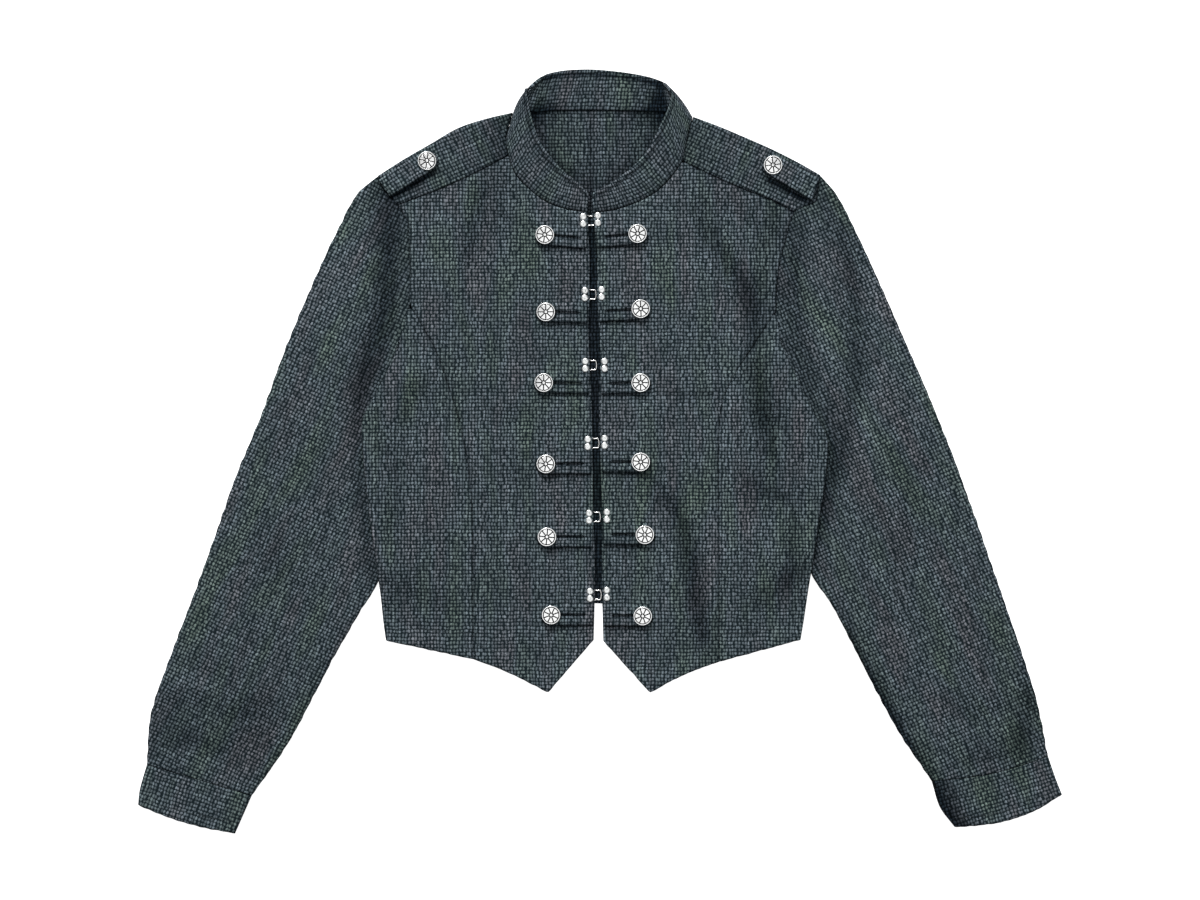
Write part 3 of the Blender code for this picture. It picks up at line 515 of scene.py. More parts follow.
def hopsack_group():
    """Node group of the weave: pale slubs where a light yarn crosses over dark ones."""
    pitches = (("Across", "Float", 0.00308), ("Along", "Float", 0.00357), ("Beat", "Float", 0.00461))
    heights = (("Slub", "Float", 0.0), ("Height", "Float", 0.0), ("Hair", "Float", 0.0))
    group, given, result = new_group("hopsack weave", (("Vector", "Vector", None), *pitches), heights)
    shifts = []
    for scale, size in ((60.0, 0.0028), (420.0, 0.0016)):
        wander = noise(group, given["Vector"], scale, 1.0)["Color"]
        centred = node(group, "ShaderNodeVectorMath", {0: wander, 1: (-0.5, -0.5, -0.5)}, operation="ADD")
        inputs = {0: centred.outputs[0], "Scale": size}
        shifts.append(node(group, "ShaderNodeVectorMath", inputs, operation="SCALE").outputs[0])
    shift = node(group, "ShaderNodeVectorMath", {0: shifts[0], 1: shifts[1]}, operation="ADD").outputs[0]
    moved = node(group, "ShaderNodeVectorMath", {0: given["Vector"], 1: shift}, operation="ADD").outputs[0]
    parts = node(group, "ShaderNodeSeparateXYZ", {0: moved}).outputs
    cells = []
    yarns = []
    offsets = []
    for axis, pitch, seed in (("X", given["Across"], 3.1), ("Y", given["Along"], 8.7)):
        place = maths(group, "DIVIDE", parts[axis], pitch)
        cell = maths(group, "FLOOR", place)
        cells.append(cell)
        offsets.append(maths(group, "SUBTRACT", maths(group, "FRACT", place), 0.5))
        number = maths(group, "ADD", cell, seed)
        yarn = node(group, "ShaderNodeTexWhiteNoise", {"W": number}, noise_dimensions="1D")
        yarns.append(maths(group, "MULTIPLY_ADD", yarn.outputs["Value"], 0.26, 0.78))
    crossing = node(group, "ShaderNodeCombineXYZ", {0: cells[0], 1: cells[1]})
    lot = node(group, "ShaderNodeTexWhiteNoise", {"Vector": crossing.outputs[0]}, noise_dimensions="2D")
    lots = node(group, "ShaderNodeSeparateColor", {0: lot.outputs["Color"]}).outputs
    aside = maths(group, "ADD", offsets[0], maths(group, "MULTIPLY_ADD", lots[0], 0.44, -0.22))
    wide = maths(group, "POWER", maths(group, "MULTIPLY", aside, 2.6), 2.0)
    length = maths(group, "MULTIPLY_ADD", lots[1], 0.9, 2.0)
    tall = maths(group, "POWER", maths(group, "MULTIPLY", offsets[1], length), 2.0)
    spot = remap(group, maths(group, "ADD", wide, tall), (1.45, -0.15), (0.0, 1.0))
    chance = maths(group, "MULTIPLY_ADD", lots[2], 0.62, 0.5)
    turn = maths(group, "DIVIDE", maths(group, "MULTIPLY", parts["X"], math.tau), given["Beat"])
    beat = maths(group, "MULTIPLY_ADD", maths(group, "COSINE", turn), 0.17, 0.96)
    both = maths(group, "MULTIPLY", yarns[0], yarns[1])
    strength = maths(group, "MULTIPLY", both, maths(group, "MULTIPLY", chance, beat))
    hair = noise(group, given["Vector"], 1100.0, 2.0, Roughness=0.7)[0]
    rise = maths(group, "MULTIPLY_ADD", hair, 0.4, maths(group, "MULTIPLY", spot, 0.8))
    fill(group, result, {"Slub": maths(group, "MULTIPLY", spot, strength), "Height": rise, "Hair": hair})
    return group


def blotch_group():
    """Node group of the wool's blended dye: soft streaks of blue, green and brown."""
    dyes = (("Tint", "Color", None), ("Depth", "Float", 0.0))
    group, given, result = new_group("blended wool", (("Vector", "Vector", None),), dyes)
    stretched = node(group, "ShaderNodeMapping", {"Vector": given["Vector"], "Scale": (34.0, 9.0, 1.0)})
    ramp = node(group, "ShaderNodeValToRGB", {0: noise(group, stretched.outputs[0], 1.0, 2.0)[0]})
    brown, green = ramp.color_ramp.elements
    brown.position = 0.33
    brown.color = (1.07, 0.95, 1.02, 1)
    green.position = 0.68
    green.color = (0.93, 1.055, 0.90, 1)
    ramp.color_ramp.elements.new(0.5).color = (0.94, 1.0, 1.09, 1)
    depth = remap(group, noise(group, given["Vector"], 42.0, 3.0)[0], (0.3, 0.7), (0.96, 1.04))
    fill(group, result, {"Tint": ramp.outputs[0], "Depth": depth})
    return group


def tweed_material():
    """Tweed that reads each piece's own grain map, and the shade painted on it above and beneath."""
    made, tree, shader = new_material("tweed")
    grain = node(tree, "ShaderNodeUVMap", uv_map="Grain").outputs[0]
    yarn = node(tree, "ShaderNodeGroup", {"Vector": grain}, node_tree=hopsack_group())
    dye = node(tree, "ShaderNodeGroup", {"Vector": grain}, node_tree=blotch_group())
    share = maths(tree, "ADD", yarn.outputs["Slub"], maths(tree, "MULTIPLY", yarn.outputs["Hair"], 0.035))
    pale = tinted(tree, (*SLUB, 1), dye.outputs["Tint"])
    mixed = node(tree, "ShaderNodeMix", {"Factor": share, 6: (*GROUND, 1), 7: pale}, data_type="RGBA")
    facing = node(tree, "ShaderNodeNewGeometry").outputs["Normal"]
    rising = node(tree, "ShaderNodeSeparateXYZ", {0: facing}).outputs[2]
    above = remap(tree, rising, (-0.5, 0.0), (0.0, 1.0))
    # The Shade and Under attributes are painted shade: seams, creases, cast shadows and folds darkened in
    # the colour.
    painted_shade = node(tree, "ShaderNodeAttribute", attribute_name="Shade").outputs["Fac"]
    beneath = node(tree, "ShaderNodeAttribute", attribute_name="Under").outputs["Fac"]
    beneath = maths(tree, "MULTIPLY", beneath, maths(tree, "SUBTRACT", 1.0, above))
    painted_shade = maths(tree, "MULTIPLY_ADD", painted_shade, above, beneath)
    # Painted shade on faces that turn on edge, taken from the height of the normal, times the dye's random
    # tone.
    turning = remap(tree, maths(tree, "ABSOLUTE", rising), (0.75, 0.15), (1.0, 1.0 - TURNED_SHADE))
    tone_and_edge_shade = maths(tree, "MULTIPLY", dye.outputs["Depth"], turning)
    kept = {}
    for channel, taken in enumerate(SHADE_COLOUR):
        kept[channel] = maths(tree, "MULTIPLY", tone_and_edge_shade, maths(tree, "MULTIPLY_ADD", painted_shade, -taken, 1.0))
    deep = node(tree, "ShaderNodeCombineColor", kept).outputs[0]
    fill(tree, shader, {
        "Base Color": tinted(tree, mixed.outputs[2], deep),
        "Normal": bumped(tree, yarn.outputs["Height"], 0.9, 0.0005),
        "Roughness": 0.93,
        "Specular IOR Level": 0.06,
        "Sheen Weight": 0.01,
        "Sheen Roughness": 0.5,
    })
    return made


def thread_material():
    """Dark spun thread with a fine twist."""
    made, tree, shader = new_material("thread")
    fibre = noise(tree, node(tree, "ShaderNodeTexCoord").outputs["Object"], 2600.0, 2.0)[0]
    tone = node(tree, "ShaderNodeValToRGB", {0: fibre})
    tone.color_ramp.elements[0].color = (0.012, 0.018, 0.022, 1)
    tone.color_ramp.elements[1].color = (0.075, 0.095, 0.105, 1)
    fill(tree, shader, {
        "Base Color": tone.outputs[0],
        "Normal": bumped(tree, fibre, 0.6, 0.0001),
        "Roughness": 0.75,
        "Specular IOR Level": 0.15,
    })
    return made


tweed = tweed_material()
thread = thread_material()


def put(made, slot_name, *stands_for):
    """Add a finished piece to the scene, on the jacket's one body."""
    bpy.context.scene.collection.objects.link(made)
    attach(made, "root")
    if stands_for:
        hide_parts(*stands_for)
    return made


def cut_of(points):
    """The cut of a sheet from its points: its width, its length and its area in metres."""
    across, _ = reach(points, 1)
    down, _ = reach(points, 0)
    a = points[:-1, :-1]
    sides = np.cross(points[:-1, 1:] - a, points[1:, :-1] - a)
    other = np.cross(points[1:, :-1] - points[1:, 1:], points[:-1, 1:] - points[1:, 1:])
    area = (np.linalg.norm(sides, axis=2) + np.linalg.norm(other, axis=2)).sum() / 2
    width = across[:, -1].max() * MM
    length = down[-1].max() * MM
    return (round(width, 4), round(length, 4)), min(area * MM * MM, width * length)


def sheet(name, points, grain, wall=CLOTH, tube=False, shade=None, under=None, up=True):
    """A sheet of cloth through a grid of points on its outer face, placed on the jacket's body.

    shade and under are the shade painted at each point, on faces that look up and down."""
    rows, columns = points.shape[:2]
    used = columns - 1 if tube else columns
    quarter = points[:, : max(3, columns // 4)]
    a = quarter[:-1, :-1]
    facing = np.cross(quarter[:-1, 1:] - a, quarter[1:, :-1] - a)[:, :, 2].sum() > 0
    index = np.arange(rows * used).reshape(rows, used)
    if tube:
        index = np.concatenate((index, index[:, :1]), axis=1)
    corners, maps = ([g[:-1, :-1], g[:-1, 1:], g[1:, 1:], g[1:, :-1]] for g in (index, grain))
    if facing != up:
        corners.reverse()
        maps.reverse()
    mesh = bpy.data.meshes.new(name + "_cloth")
    faces = np.stack(corners, -1).reshape(-1, 4)
    mesh.from_pydata((points[:, :used].reshape(-1, 3) * MM).tolist(), [], faces.tolist())
    layer = mesh.uv_layers.new(name="Grain")
    layer.data.foreach_set("uv", (np.stack(maps, -2).reshape(-1) * MM).astype(np.float32))
    for label, values in (("Shade", shade), ("Under", under)):
        attribute = mesh.attributes.new(label, "FLOAT", "POINT")
        if values is not None:
            attribute.data.foreach_set("value", values[:, :used].reshape(-1).astype(np.float32))
    mesh.shade_smooth()
    mesh.materials.append(tweed)
    made = put(bpy.data.objects.new(name + "_cloth", mesh), "tweed", name)
    solidify = made.modifiers.new("Cloth wall", "SOLIDIFY")
    solidify.thickness = wall * MM
    solidify.offset = -1
    flat, area = cut_of(points)
    return made


def stitches(name, lines):
    """Stitches along lines of points: one small bent capsule of thread for each."""
    random = np.random.default_rng(len(name))
    turn = np.linspace(0, math.tau, STITCH_SIDES + 1)[:-1]
    capsule = [(-0.5, 0.0, 0.0, -0.3)]
    for along, lift in ((-0.42, 0.0), (0.0, 0.1), (0.42, 0.0)):
        capsule += [(along, math.cos(angle), math.sin(angle), lift) for angle in turn]
    capsule.append((0.5, 0.0, 0.0, -0.3))
    capsule = np.array(capsule)
    last = len(capsule) - 1
    faces = []
    for k in range(STITCH_SIDES):
        beside = (k + 1) % STITCH_SIDES
        faces.append((0, 1 + beside, 1 + k))
        for ring in (1, 1 + STITCH_SIDES):
            faces.append((ring + k, ring + beside, ring + STITCH_SIDES + beside, ring + STITCH_SIDES + k))
        faces.append((last, 1 + 2 * STITCH_SIDES + k, 1 + 2 * STITCH_SIDES + beside))
    vertices = []
    polygons = []
    for line in lines:
        run = run_along(line)
        places = np.arange(STITCH_PITCH, run[-1] - STITCH_PITCH, STITCH_PITCH)
        for place in places + random.uniform(-0.15, 0.15, len(places)):
            start, end = at(line, np.array((place - STITCH_LENGTH / 2, place + STITCH_LENGTH / 2)), run)
            along = end - start
            across = np.array((-along[1], along[0], 0.0)) / math.hypot(along[0], along[1])
            along = along + across * random.uniform(-0.12, 0.12) * STITCH_LENGTH
            shape = (start + end) / 2 + capsule[:, :1] * along + THREAD * capsule[:, 1:2] * across
            shape[:, 2] += THREAD * capsule[:, 2] + capsule[:, 3] + 0.1
            polygons += [[index + len(vertices) for index in face] for face in faces]
            vertices += (shape * MM).tolist()
    mesh = bpy.data.meshes.new(name)
    mesh.from_pydata(vertices, [], polygons)
    mesh.shade_smooth()
    mesh.materials.append(thread)
    return put(bpy.data.objects.new(name, mesh), "tweed")


def front_edge(side):
    """Corners of the straight front edge, from the neck down."""
    return [CHEST[side][-1][2:4]] + [row[2:4] for row in TRUNK[side]]


def front_plan(side):
    """Plan points of a front panel, from the armhole and princess seam to the front edge."""
    top = curve([row[:2] for row in YOKE[side]])[::-1]
    left = curve([row[:2] for row in CHEST[side] + TRUNK[side]])
    right = np.concatenate((curve([row[2:4] for row in CHEST[side]]), curve(front_edge(side))[1:]))
    tip = np.array(HEM_POINT[side], float)
    share = np.linspace(0, 1, 25)[:, None]
    outer = left[-1] + (tip - left[-1]) * share + np.array((0, 2.2)) * np.sin(math.pi * share)
    bottom = np.concatenate((outer, tip + (right[-1] - tip) * share[1:]))
    facing = FACING[side]
    far = (0.15, 0.6, 1.1, 1.8, EDGE_STITCH - 0.9, EDGE_STITCH, EDGE_STITCH + 0.9, 9, 14, 19, 24, 29)
    far += (facing - 3, facing - 0.9, facing, facing + 0.9, facing + 3)
    return panel(top, bottom, left, right, (SEAM_ROWS, far, 38), (SEAM_ROWS, HEM_ROWS, 230))


def unevenly(points):
    """How far a cut edge wanders, at points near it."""
    return EDGE_WANDER * ripple(points[:, :, 0], points[:, :, 1], 9, 91)


def edge_at(side, y):
    """X of a front edge at a height on the body."""
    line = np.array(front_edge(side), float)[::-1]
    return float(np.interp(y, line[:, 1], line[:, 0]))


def strap_shadows(side):
    """Soft shadows under the lower edges of the front straps."""
    shadows = []
    for rx, ry, lx, ly, *_ in CLOSURES:
        x, y = (rx, ry) if side == "right" else (lx, ly)
        low = y - TAB_HALF - 1.5
        start = edge_at(side, y)
        shadows.append((0.72, 1.7, ((start, low - 1), ((start + x) / 2, low - 0.3), (x, low + 0.2))))
    return shadows


def yoke_seam_shade(side, x, y, from_seam):
    """Painted shade along the slightly ragged seam between a front and its yoke."""
    return YOKE_SEAM_SHADE[side] * np.exp(-((from_seam / 2.0) ** 2)) * (0.85 + 0.3 * ripple(x, y, 7, 77))


def hem_height(from_hem):
    """Height of the turned-up hem, which ends at its stitches, and of its rolled edge."""
    doubled = 1 - smooth((from_hem - HEM_STITCH) / 2)
    return HEM_STEP * doubled - rolled(from_hem, EDGE_ROLL) - groove(from_hem - HEM_STITCH)


def hem_shade(from_hem):
    """Painted shade on the hem's edge and a painted highlight on its doubled cloth."""
    return 0.55 * np.exp(-from_hem / 1.1) - 0.07 * smooth(1 - (from_hem - HEM_STITCH) / 2)


for side in SIDES:
    plan = front_plan(side)
    from_side, from_edge = reach(plan, 1)
    from_top, from_hem = reach(plan, 0)
    from_facing = from_edge - FACING[side]
    plan[:, :, 1] += unevenly(plan) * np.exp(-from_hem / 3)
    x, y = plan[:, :, 0], plan[:, :, 1]
    on_princess = smooth((CHEST[side][-1][1] - y) / 20)
    on_neck = smooth((y - NECK_END) / 6)
    z = body_top(x, y) - rolled(from_top, SEAM_ROLL)
    z -= rolled(from_side, SEAM_ROLL) * (1 - 0.5 * on_princess)
    stitched = rolled(from_edge, EDGE_ROLL) + groove(from_edge - EDGE_STITCH) + groove(from_facing)
    doubled = FACING_STEP * (1 - smooth(from_facing / 2))
    z += (doubled - stitched) * (1 - on_neck) - rolled(from_edge, SEAM_ROLL) * on_neck
    puckered = np.exp(-from_side / 5) + np.exp(-from_top / 6)
    z += hem_height(from_hem) + PUCKER * ripple(x, y, 7, 5) * puckered
    points = np.dstack((x, y, z))
    # Painted shade in the seams, along the facing's stitches, in the creases, under the straps and on the
    # hem's edge; painted highlights beside the facing and beside the armhole.
    strength = ARMHOLE_SHADE + (SEAM_SHADE[side] - ARMHOLE_SHADE) * on_princess
    shade = strength * np.exp(-from_side / 1.6) + yoke_seam_shade(side, x, y, from_top)
    shade += (0.22 * groove(from_facing, 1) - 0.08 * groove(from_facing - 3, 1, 1.6)) * (1 - on_neck)
    shade += body_shade(x, y) + creased(x, y, strap_shadows(side)) + hem_shade(from_hem)
    shade -= 0.13 * np.exp(-(((from_side - 5.5) / 3.5) ** 2)) * (1 - on_princess)
    sheet("front_" + side, points, plan, shade=shade)
    below = np.nonzero(on_neck[:, -1] <= 0)[0][0]
    facing_line = points[below:HEM_ROW, FACING_COLUMN]
    edge_line = points[below:-3, EDGE_COLUMN]
    stitches("stitches_front_" + side, (facing_line, edge_line, points[HEM_ROW, 1:EDGE_COLUMN]))


# ---------------------------------------------------------------------------
# Side panels. Each runs from the princess seam over the edge of the sleeve, folds
# under at the side of the body and joins the back.
# ---------------------------------------------------------------------------

FOLD_HEIGHT = 4.2
SIDE_PLATEAU = 26.0         # width of the raised strip beside the fold and of the slope up to it
SIDE_SLOPE = 26.0
SIDE_START = 0.25           # where on the armhole the panel starts
SIDE_CELLS = 30             # cells across the upper face
HOLE_ROWS = (0.2, 0.8, 1.5, 2.6)        # rows of points near the armhole
SIDE_FACE = 34              # columns that lie on the upper face
# Behind the fold: share of the way to the back seam and share of the fold's lower height.
SIDE_UNDER = (
    (0.15, 1.0), (0.3, 1.0), (0.46, 1.0), (0.62, 1.0), (0.72, 0.75), (0.8, 0.42), (0.86, 0.2), (0.93, 0.05),
    (0.995, 0.0),
)
UNDERARM = {"right": ((-199, 72), (-199, 50)), "left": ((175, 80), (177, 54))}
FOLD_STEPS = 10


def lerp(a, b, t):
    """The point at share t of the way from a to b."""
    return tuple(p + (q - p) * t for p, q in zip(a, b))


def fold_arc(front, crest, high, low, steps=FOLD_STEPS):
    """Points round a fold, from above to below, at the end of a strip that runs from front to crest."""
    radius = (high - low) / 2
    unit = np.array(crest[:2], float) - np.array(front[:2], float)
    unit /= np.linalg.norm(unit)
    centre = np.array(crest[:2]) - unit * radius
    points = []
    for k in range(steps + 1):
        angle = math.pi / 2 - math.pi * k / steps
        plan = centre + unit * radius * math.cos(angle)
        points.append((plan[0], plan[1], low + radius + radius * math.sin(angle)))
    return points


def upper_face(z, start=4.2):
    """1 where a folded piece's points lie on its upper face, 0 further down."""
    return smooth((z - start) / (4.8 - start))


def side_sections(side):
    """Sections of a side panel, from the armhole down to the hem."""
    seam_top = lerp(CHEST[side][-1][:2], TRUNK[side][0][:2], SIDE_START)
    hole_top = lerp(CHEST[side][-1][:2], TRUNK[side][0][4:6], SIDE_START)
    sections = []
    for row in ((*seam_top, 0, 0, *hole_top, *hole_top, 0),) + TRUNK[side]:
        seam, crest, back, lift = row[:2], row[4:6], row[6:8], row[8]
        folded = crest != back
        width = math.dist(seam, crest)
        high = max(lift + FOLD_HEIGHT, FLAT) if folded else FLAT + lift
        run = width - (high - lift) / 2 if folded else width
        points = []
        for along in spread(run, SEAM_ROWS, (0.0, 1.0, 2.0), SIDE_CELLS):
            rise = FLAT + lift * smooth(along / width)
            if folded:
                rise = FLAT + (high - FLAT) * (1 - smooth((width - along - SIDE_PLATEAU) / SIDE_SLOPE))
            points.append((*lerp(seam, crest, along / width), rise))
        if folded:
            arc = fold_arc(seam, crest, high, lift)
            hangs = back[1] > UNDERARM[side][1][1]
            points = points[:-1] + arc
            for share, kept in SIDE_UNDER:
                points.append((*lerp(arc[-1][:2], back, share), lift if hangs else lift * kept))
        else:
            more = FOLD_STEPS + len(SIDE_UNDER)
            points = points[:-1] + [lerp(points[-2], points[-1], k / more) for k in range(1, more + 1)]
        sections.append(points)
    width = max(len(points) for points in sections)
    return [points + [points[-1]] * (width - len(points)) for points in sections]


for side in SIDES:
    sections = side_sections(side)
    grid = loft(sections, marks(sections, HOLE_ROWS, HEM_ROWS, 110))
    x, y, z = np.moveaxis(grid, 2, 0).copy()
    from_seam, from_back = reach(grid, 1)
    _, from_hem = reach(grid, 0)
    y += unevenly(grid) * np.exp(-from_hem / 3)
    upper = upper_face(z) * (np.arange(grid.shape[1]) < SIDE_FACE)
    pucker = PUCKER * ripple(x, y, 7, 5) * np.exp(-from_seam / 5)
    z += (body_relief(x, y) + hem_height(from_hem) + pucker) * upper - rolled(from_seam, SEAM_ROLL) * 0.5
    points = np.dstack((x, y, np.maximum(z, 0)))
    # Painted shade in the seam with a painted highlight beside it, and painted shade round the fold at the
    # side of the body.
    shade = SEAM_SHADE[side] * np.exp(-from_seam / 1.6) - 0.10 * np.exp(-(((from_seam - 4) / 3) ** 2))
    shade = (shade + body_shade(x, y) + hem_shade(from_hem)) * upper
    round_fold = np.exp(-(((z - 2.2) / 2.0) ** 2)) * (from_seam > 20) * (from_back > 20) * (y < 50)
    shade += 0.4 * round_fold
    sheet("side_" + side, points, np.dstack((x, y)), shade=shade)
    stitches("stitches_side_" + side, (points[HEM_ROW, 1 : SIDE_FACE - 1],))


# ---------------------------------------------------------------------------
# Yokes. A strip across each shoulder, from the front yoke seam over the shoulder
# fold to a seam behind, with its grain along the shoulder.
# ---------------------------------------------------------------------------

ARMHOLE_TOP = {"right": ((-214, 265), (-205, 250)), "left": ((212, 266), (208, 240))}
NECK_TURN = {"right": (-90, 302), "left": (84, 302)}   # where the neck seam meets the shoulder
YOKE_SLOPE = {"right": 23.0, "left": -24.6}            # degrees of the shoulder line
YOKE_RUN = 30               # cells across the upper face, and beneath
YOKE_UNDER_RUN = 10
YOKE_NECK_SHADE = {"right": 0.42, "left": 0.18}        # painted shade under the side of the collar
# Shadows of the shoulder straps' lower edges: strength, half width and route.
YOKE_SHADOWS = {
    "right": ((0.88, 3.2, ((-206, 243), (-199, 245.2), (-180, 256), (-163, 266.2), (-155, 270))),),
    "left": ((0.88, 3.4, ((204, 237), (200, 239.6), (178, 252), (162, 260.8), (154, 266))),),
}


def run_to(points, count):
    """Plan points along a short line, closer together near its start."""
    points = np.array(points, float)
    run = run_along(points)
    return [tuple(point) for point in at(points, spread(run[-1], SEAM_ROWS, (0.0, 2.0), count), run)]


def yoke_sections(side):
    """Sections of a yoke from the neck to the armhole."""
    first = YOKE[side][0]
    rows = [((first[:2], NECK_TURN[side]), NECK_TURN[side], first[2:4], (first[4:6],))]
    rows += [((row[:2],), row[:2], row[2:4], (row[4:6],)) for row in YOKE[side][1:-1]]
    crest, corner = ARMHOLE_TOP[side]
    seam = CHEST[side][0][:2]
    rows.append(((seam, corner), corner, crest, (corner, seam)))
    sections = []
    for upper, turn, crest, lower in rows:
        high = float(body_top(*np.array(upper[0], float)))
        arc = fold_arc(turn, crest, high, 0.0)
        top = [(*point, high) for point in run_to([*upper, arc[0][:2]], YOKE_RUN)]
        under = [(*point, 0.0) for point in run_to([arc[-1][:2], *lower], YOKE_UNDER_RUN)]
        sections.append(top[:-1] + arc + under[1:])
    return sections


yoke_trees = {}
for side in SIDES:
    sections = yoke_sections(side)
    grid = loft(sections, marks(sections, HOLE_ROWS, (0.3, *HOLE_ROWS[1:]), 80))
    x, y, z = np.moveaxis(grid, 2, 0).copy()
    from_seam, _ = reach(grid, 1)
    from_neck, from_hole = reach(grid, 0)
    upper = upper_face(z)
    dip = rolled(from_seam, (1.0, 2.4)) + rolled(from_neck, SEAM_ROLL) + rolled(from_hole, SEAM_ROLL)
    z += (waves(x, y, 23) - dip - groove(from_seam - 5.5, 0.3)) * upper
    # Painted shade in the seams, under the shoulder strap and the collar, and a little over the whole yoke.
    shade = yoke_seam_shade(side, x, y, from_seam * 1.4) + creased(x, y, YOKE_SHADOWS[side]) + 0.08
    shade += 0.5 * np.exp(-np.minimum(from_neck, from_hole) / 1.6)
    shade += YOKE_NECK_SHADE[side] * np.exp(-((from_neck / 26) ** 2))
    grain = turned(x, y, YOKE_SLOPE[side])
    made = sheet("yoke_" + side, np.dstack((x, y, z)), grain, shade=shade * upper)
    bpy.context.view_layer.update()
    yoke_trees[side] = BVHTree.FromObject(made, bpy.context.evaluated_depsgraph_get())


# ---------------------------------------------------------------------------
# Back panels. Two halves of tweed joined by the centre seam, flat on the table;
# their inner face shows inside the neck.
# ---------------------------------------------------------------------------

CENTRE_BACK_X = -9.0
TAIL_CENTRE_Y = -146.0
BACK_SHADE = 0.87           # painted shade where the fronts cover the back
TAIL_ROWS = (*HEM_ROWS[:-3], HEM_STITCH - 1.2, HEM_STITCH, HEM_STITCH + 1.2)
NECK_BACK = {
    "right": ((-81.5, 326), (-76.5, 327.8), (-66, 327.9), (-47, 328.5), (-28, 329), (-9, 329.3)),
    "left": ((86.5, 322.5), (80, 326.2), (62, 327.5), (44, 328), (26, 328.5), (8, 329), (-9, 329.3)),
}
# Painted shadows that the sides of the collar throw on the back, inside the neck, and a painted highlight
# down its middle.
NECK_SHADOWS = (
    (0.42, 10, ((-70, 340), (-60, 306), (-50, 286), (-38, 271), (-24, 259), (-6, 246))),
    (0.42, 10, ((70, 340), (58, 309), (50, 294), (36, 277), (22, 266), (-2, 248))),
    (0.40, 10, ((76, 322), (50, 322), (26, 325))),
    (0.35, 8, ((-76, 324), (-54, 324), (-36, 326))),
    (-0.10, 13, ((-6, 345), (-6, 318), (-6, 280))),
)


def armhole(side):
    """Corners of the line where a sleeve is set in, from the yoke down."""
    return [row[:2] for row in CHEST[side]] + [row[4:6] for row in TRUNK[side][:2]] + list(UNDERARM[side])


for side in SIDES:
    high = float(body_top(*np.array(NECK_TURN[side], float)))
    shoulder = fold_arc(NECK_TURN[side], YOKE[side][0][2:4], high, 0.0)[-1][:2]
    seam = [row[4:6] for row in YOKE[side]][::-1] + [shoulder]
    top = np.concatenate((curve(seam, 6), curve(NECK_BACK[side], 6)))
    below = curve([UNDERARM[side][1]] + [row[6:8] for row in TRUNK[side][4:]], 6)
    left = np.concatenate((curve(armhole(side), 6), below[1:]))
    share = np.linspace(0, 1, len(left))[:, None]
    right = top[-1] + (np.array((CENTRE_BACK_X, TAIL_CENTRE_Y)) - top[-1]) * share
    share = np.linspace(0, 1, 40)
    tail_x = left[-1, 0] + (right[-1, 0] - left[-1, 0]) * share
    tail_y = left[-1, 1] + (right[-1, 1] - left[-1, 1]) * smooth(share)
    bottom = np.stack((tail_x, tail_y), -1)
    plan = panel(top, bottom, left, right, (SEAM_ROWS, SEAM_ROWS, 46), (SEAM_ROWS, TAIL_ROWS, 110))
    x, y = plan[:, :, 0], plan[:, :, 1]
    from_side, from_centre = reach(plan, 1)
    from_neck, from_hem = reach(plan, 0)
    # Painted shade: the centre and neck seams, the whole back inside the neck, and much darker where the
    # fronts cover it.
    shade = 0.45 * np.exp(-from_centre / 1.5) + 0.4 * np.exp(-from_neck / 2.0) + 0.22
    covered = smooth((NECK_END + 1 - y) / 8)
    shade = np.clip(shade + creased(x, y, NECK_SHADOWS), BACK_SHADE * covered, DARKEST)
    under = seam_line(np.minimum(np.minimum(from_side, from_centre), from_neck))
    under += seam_line(from_hem - HEM_STITCH, 0.35)
    points = np.dstack((x, y, np.zeros_like(x)))
    sheet("back_" + side, points, plan, shade=shade, under=under, up=False)


# ---------------------------------------------------------------------------
# Sleeves. Each is one flattened tube, set into the armhole, that runs under the
# edge of the body and down to the cuff; it is crumpled near the wrist.
# ---------------------------------------------------------------------------

SLEEVE_CROWN = 1.6          # how far the upper face bulges
CROWN_SHARE = 0.62          # how far across the bulge reaches
SLEEVE_SLANT = {"right": -25.0, "left": 24.0}   # degrees of the sleeve from upright
HOLE_FADE = 2.5             # sections in which the armhole's shape fades out
CUFF_FADE = 3               # sections in which its line bows like the cuff's
CUFF_ROLL = (0.6, 1.8)
TUCK = 0.6                  # how far the sleeve reaches under the edge of the armhole
TUBE_COLUMNS = 70
TUBE_FOLD = 8               # steps round the fold at each edge of a tube
# Painted shade in the folds at the edges of a tube.
FOLD_SHADE = 0.38
# Columns: outer edge x, y; inner edge x, y; crown.
SLEEVE = {
    "right": (
        (-214, 265, -199, 50, 0.0),
        (-231, 251, -200, 28, 0.4),
        (-255, 208, -202, -6, 0.8),
        (-281, 151, -204, -38, 1.0),
        (-305, 93, -207, -68, 1.0),
        (-326, 35, -210, -97, 1.0),
        (-350, -23, -213, -124, 1.0),
        (-370, -80, -233, -158, 1.0),
        (-391, -138, -256, -198, 1.0),
        (-413, -196, -279, -242, 1.0),
        (-432, -252, -302, -284, 0.8),
        (-436, -301, -335, -331, 0.4),
    ),
    "left": (
        (212, 266, 177, 54, 0.0),
        (226, 250, 179, 32, 0.4),
        (248, 208, 183, 0, 0.8),
        (271, 158, 187, -32, 1.0),
        (293, 107, 192, -62, 1.0),
        (318, 50, 198, -90, 1.0),
        (341, -8, 203, -117, 1.0),
        (362, -66, 223, -148, 1.0),
        (382, -124, 245, -190, 1.0),
        (402, -182, 267, -233, 1.0),
        (420, -239, 290, -274, 0.8),
        (431, -293, 319, -317, 0.4),
    ),
}
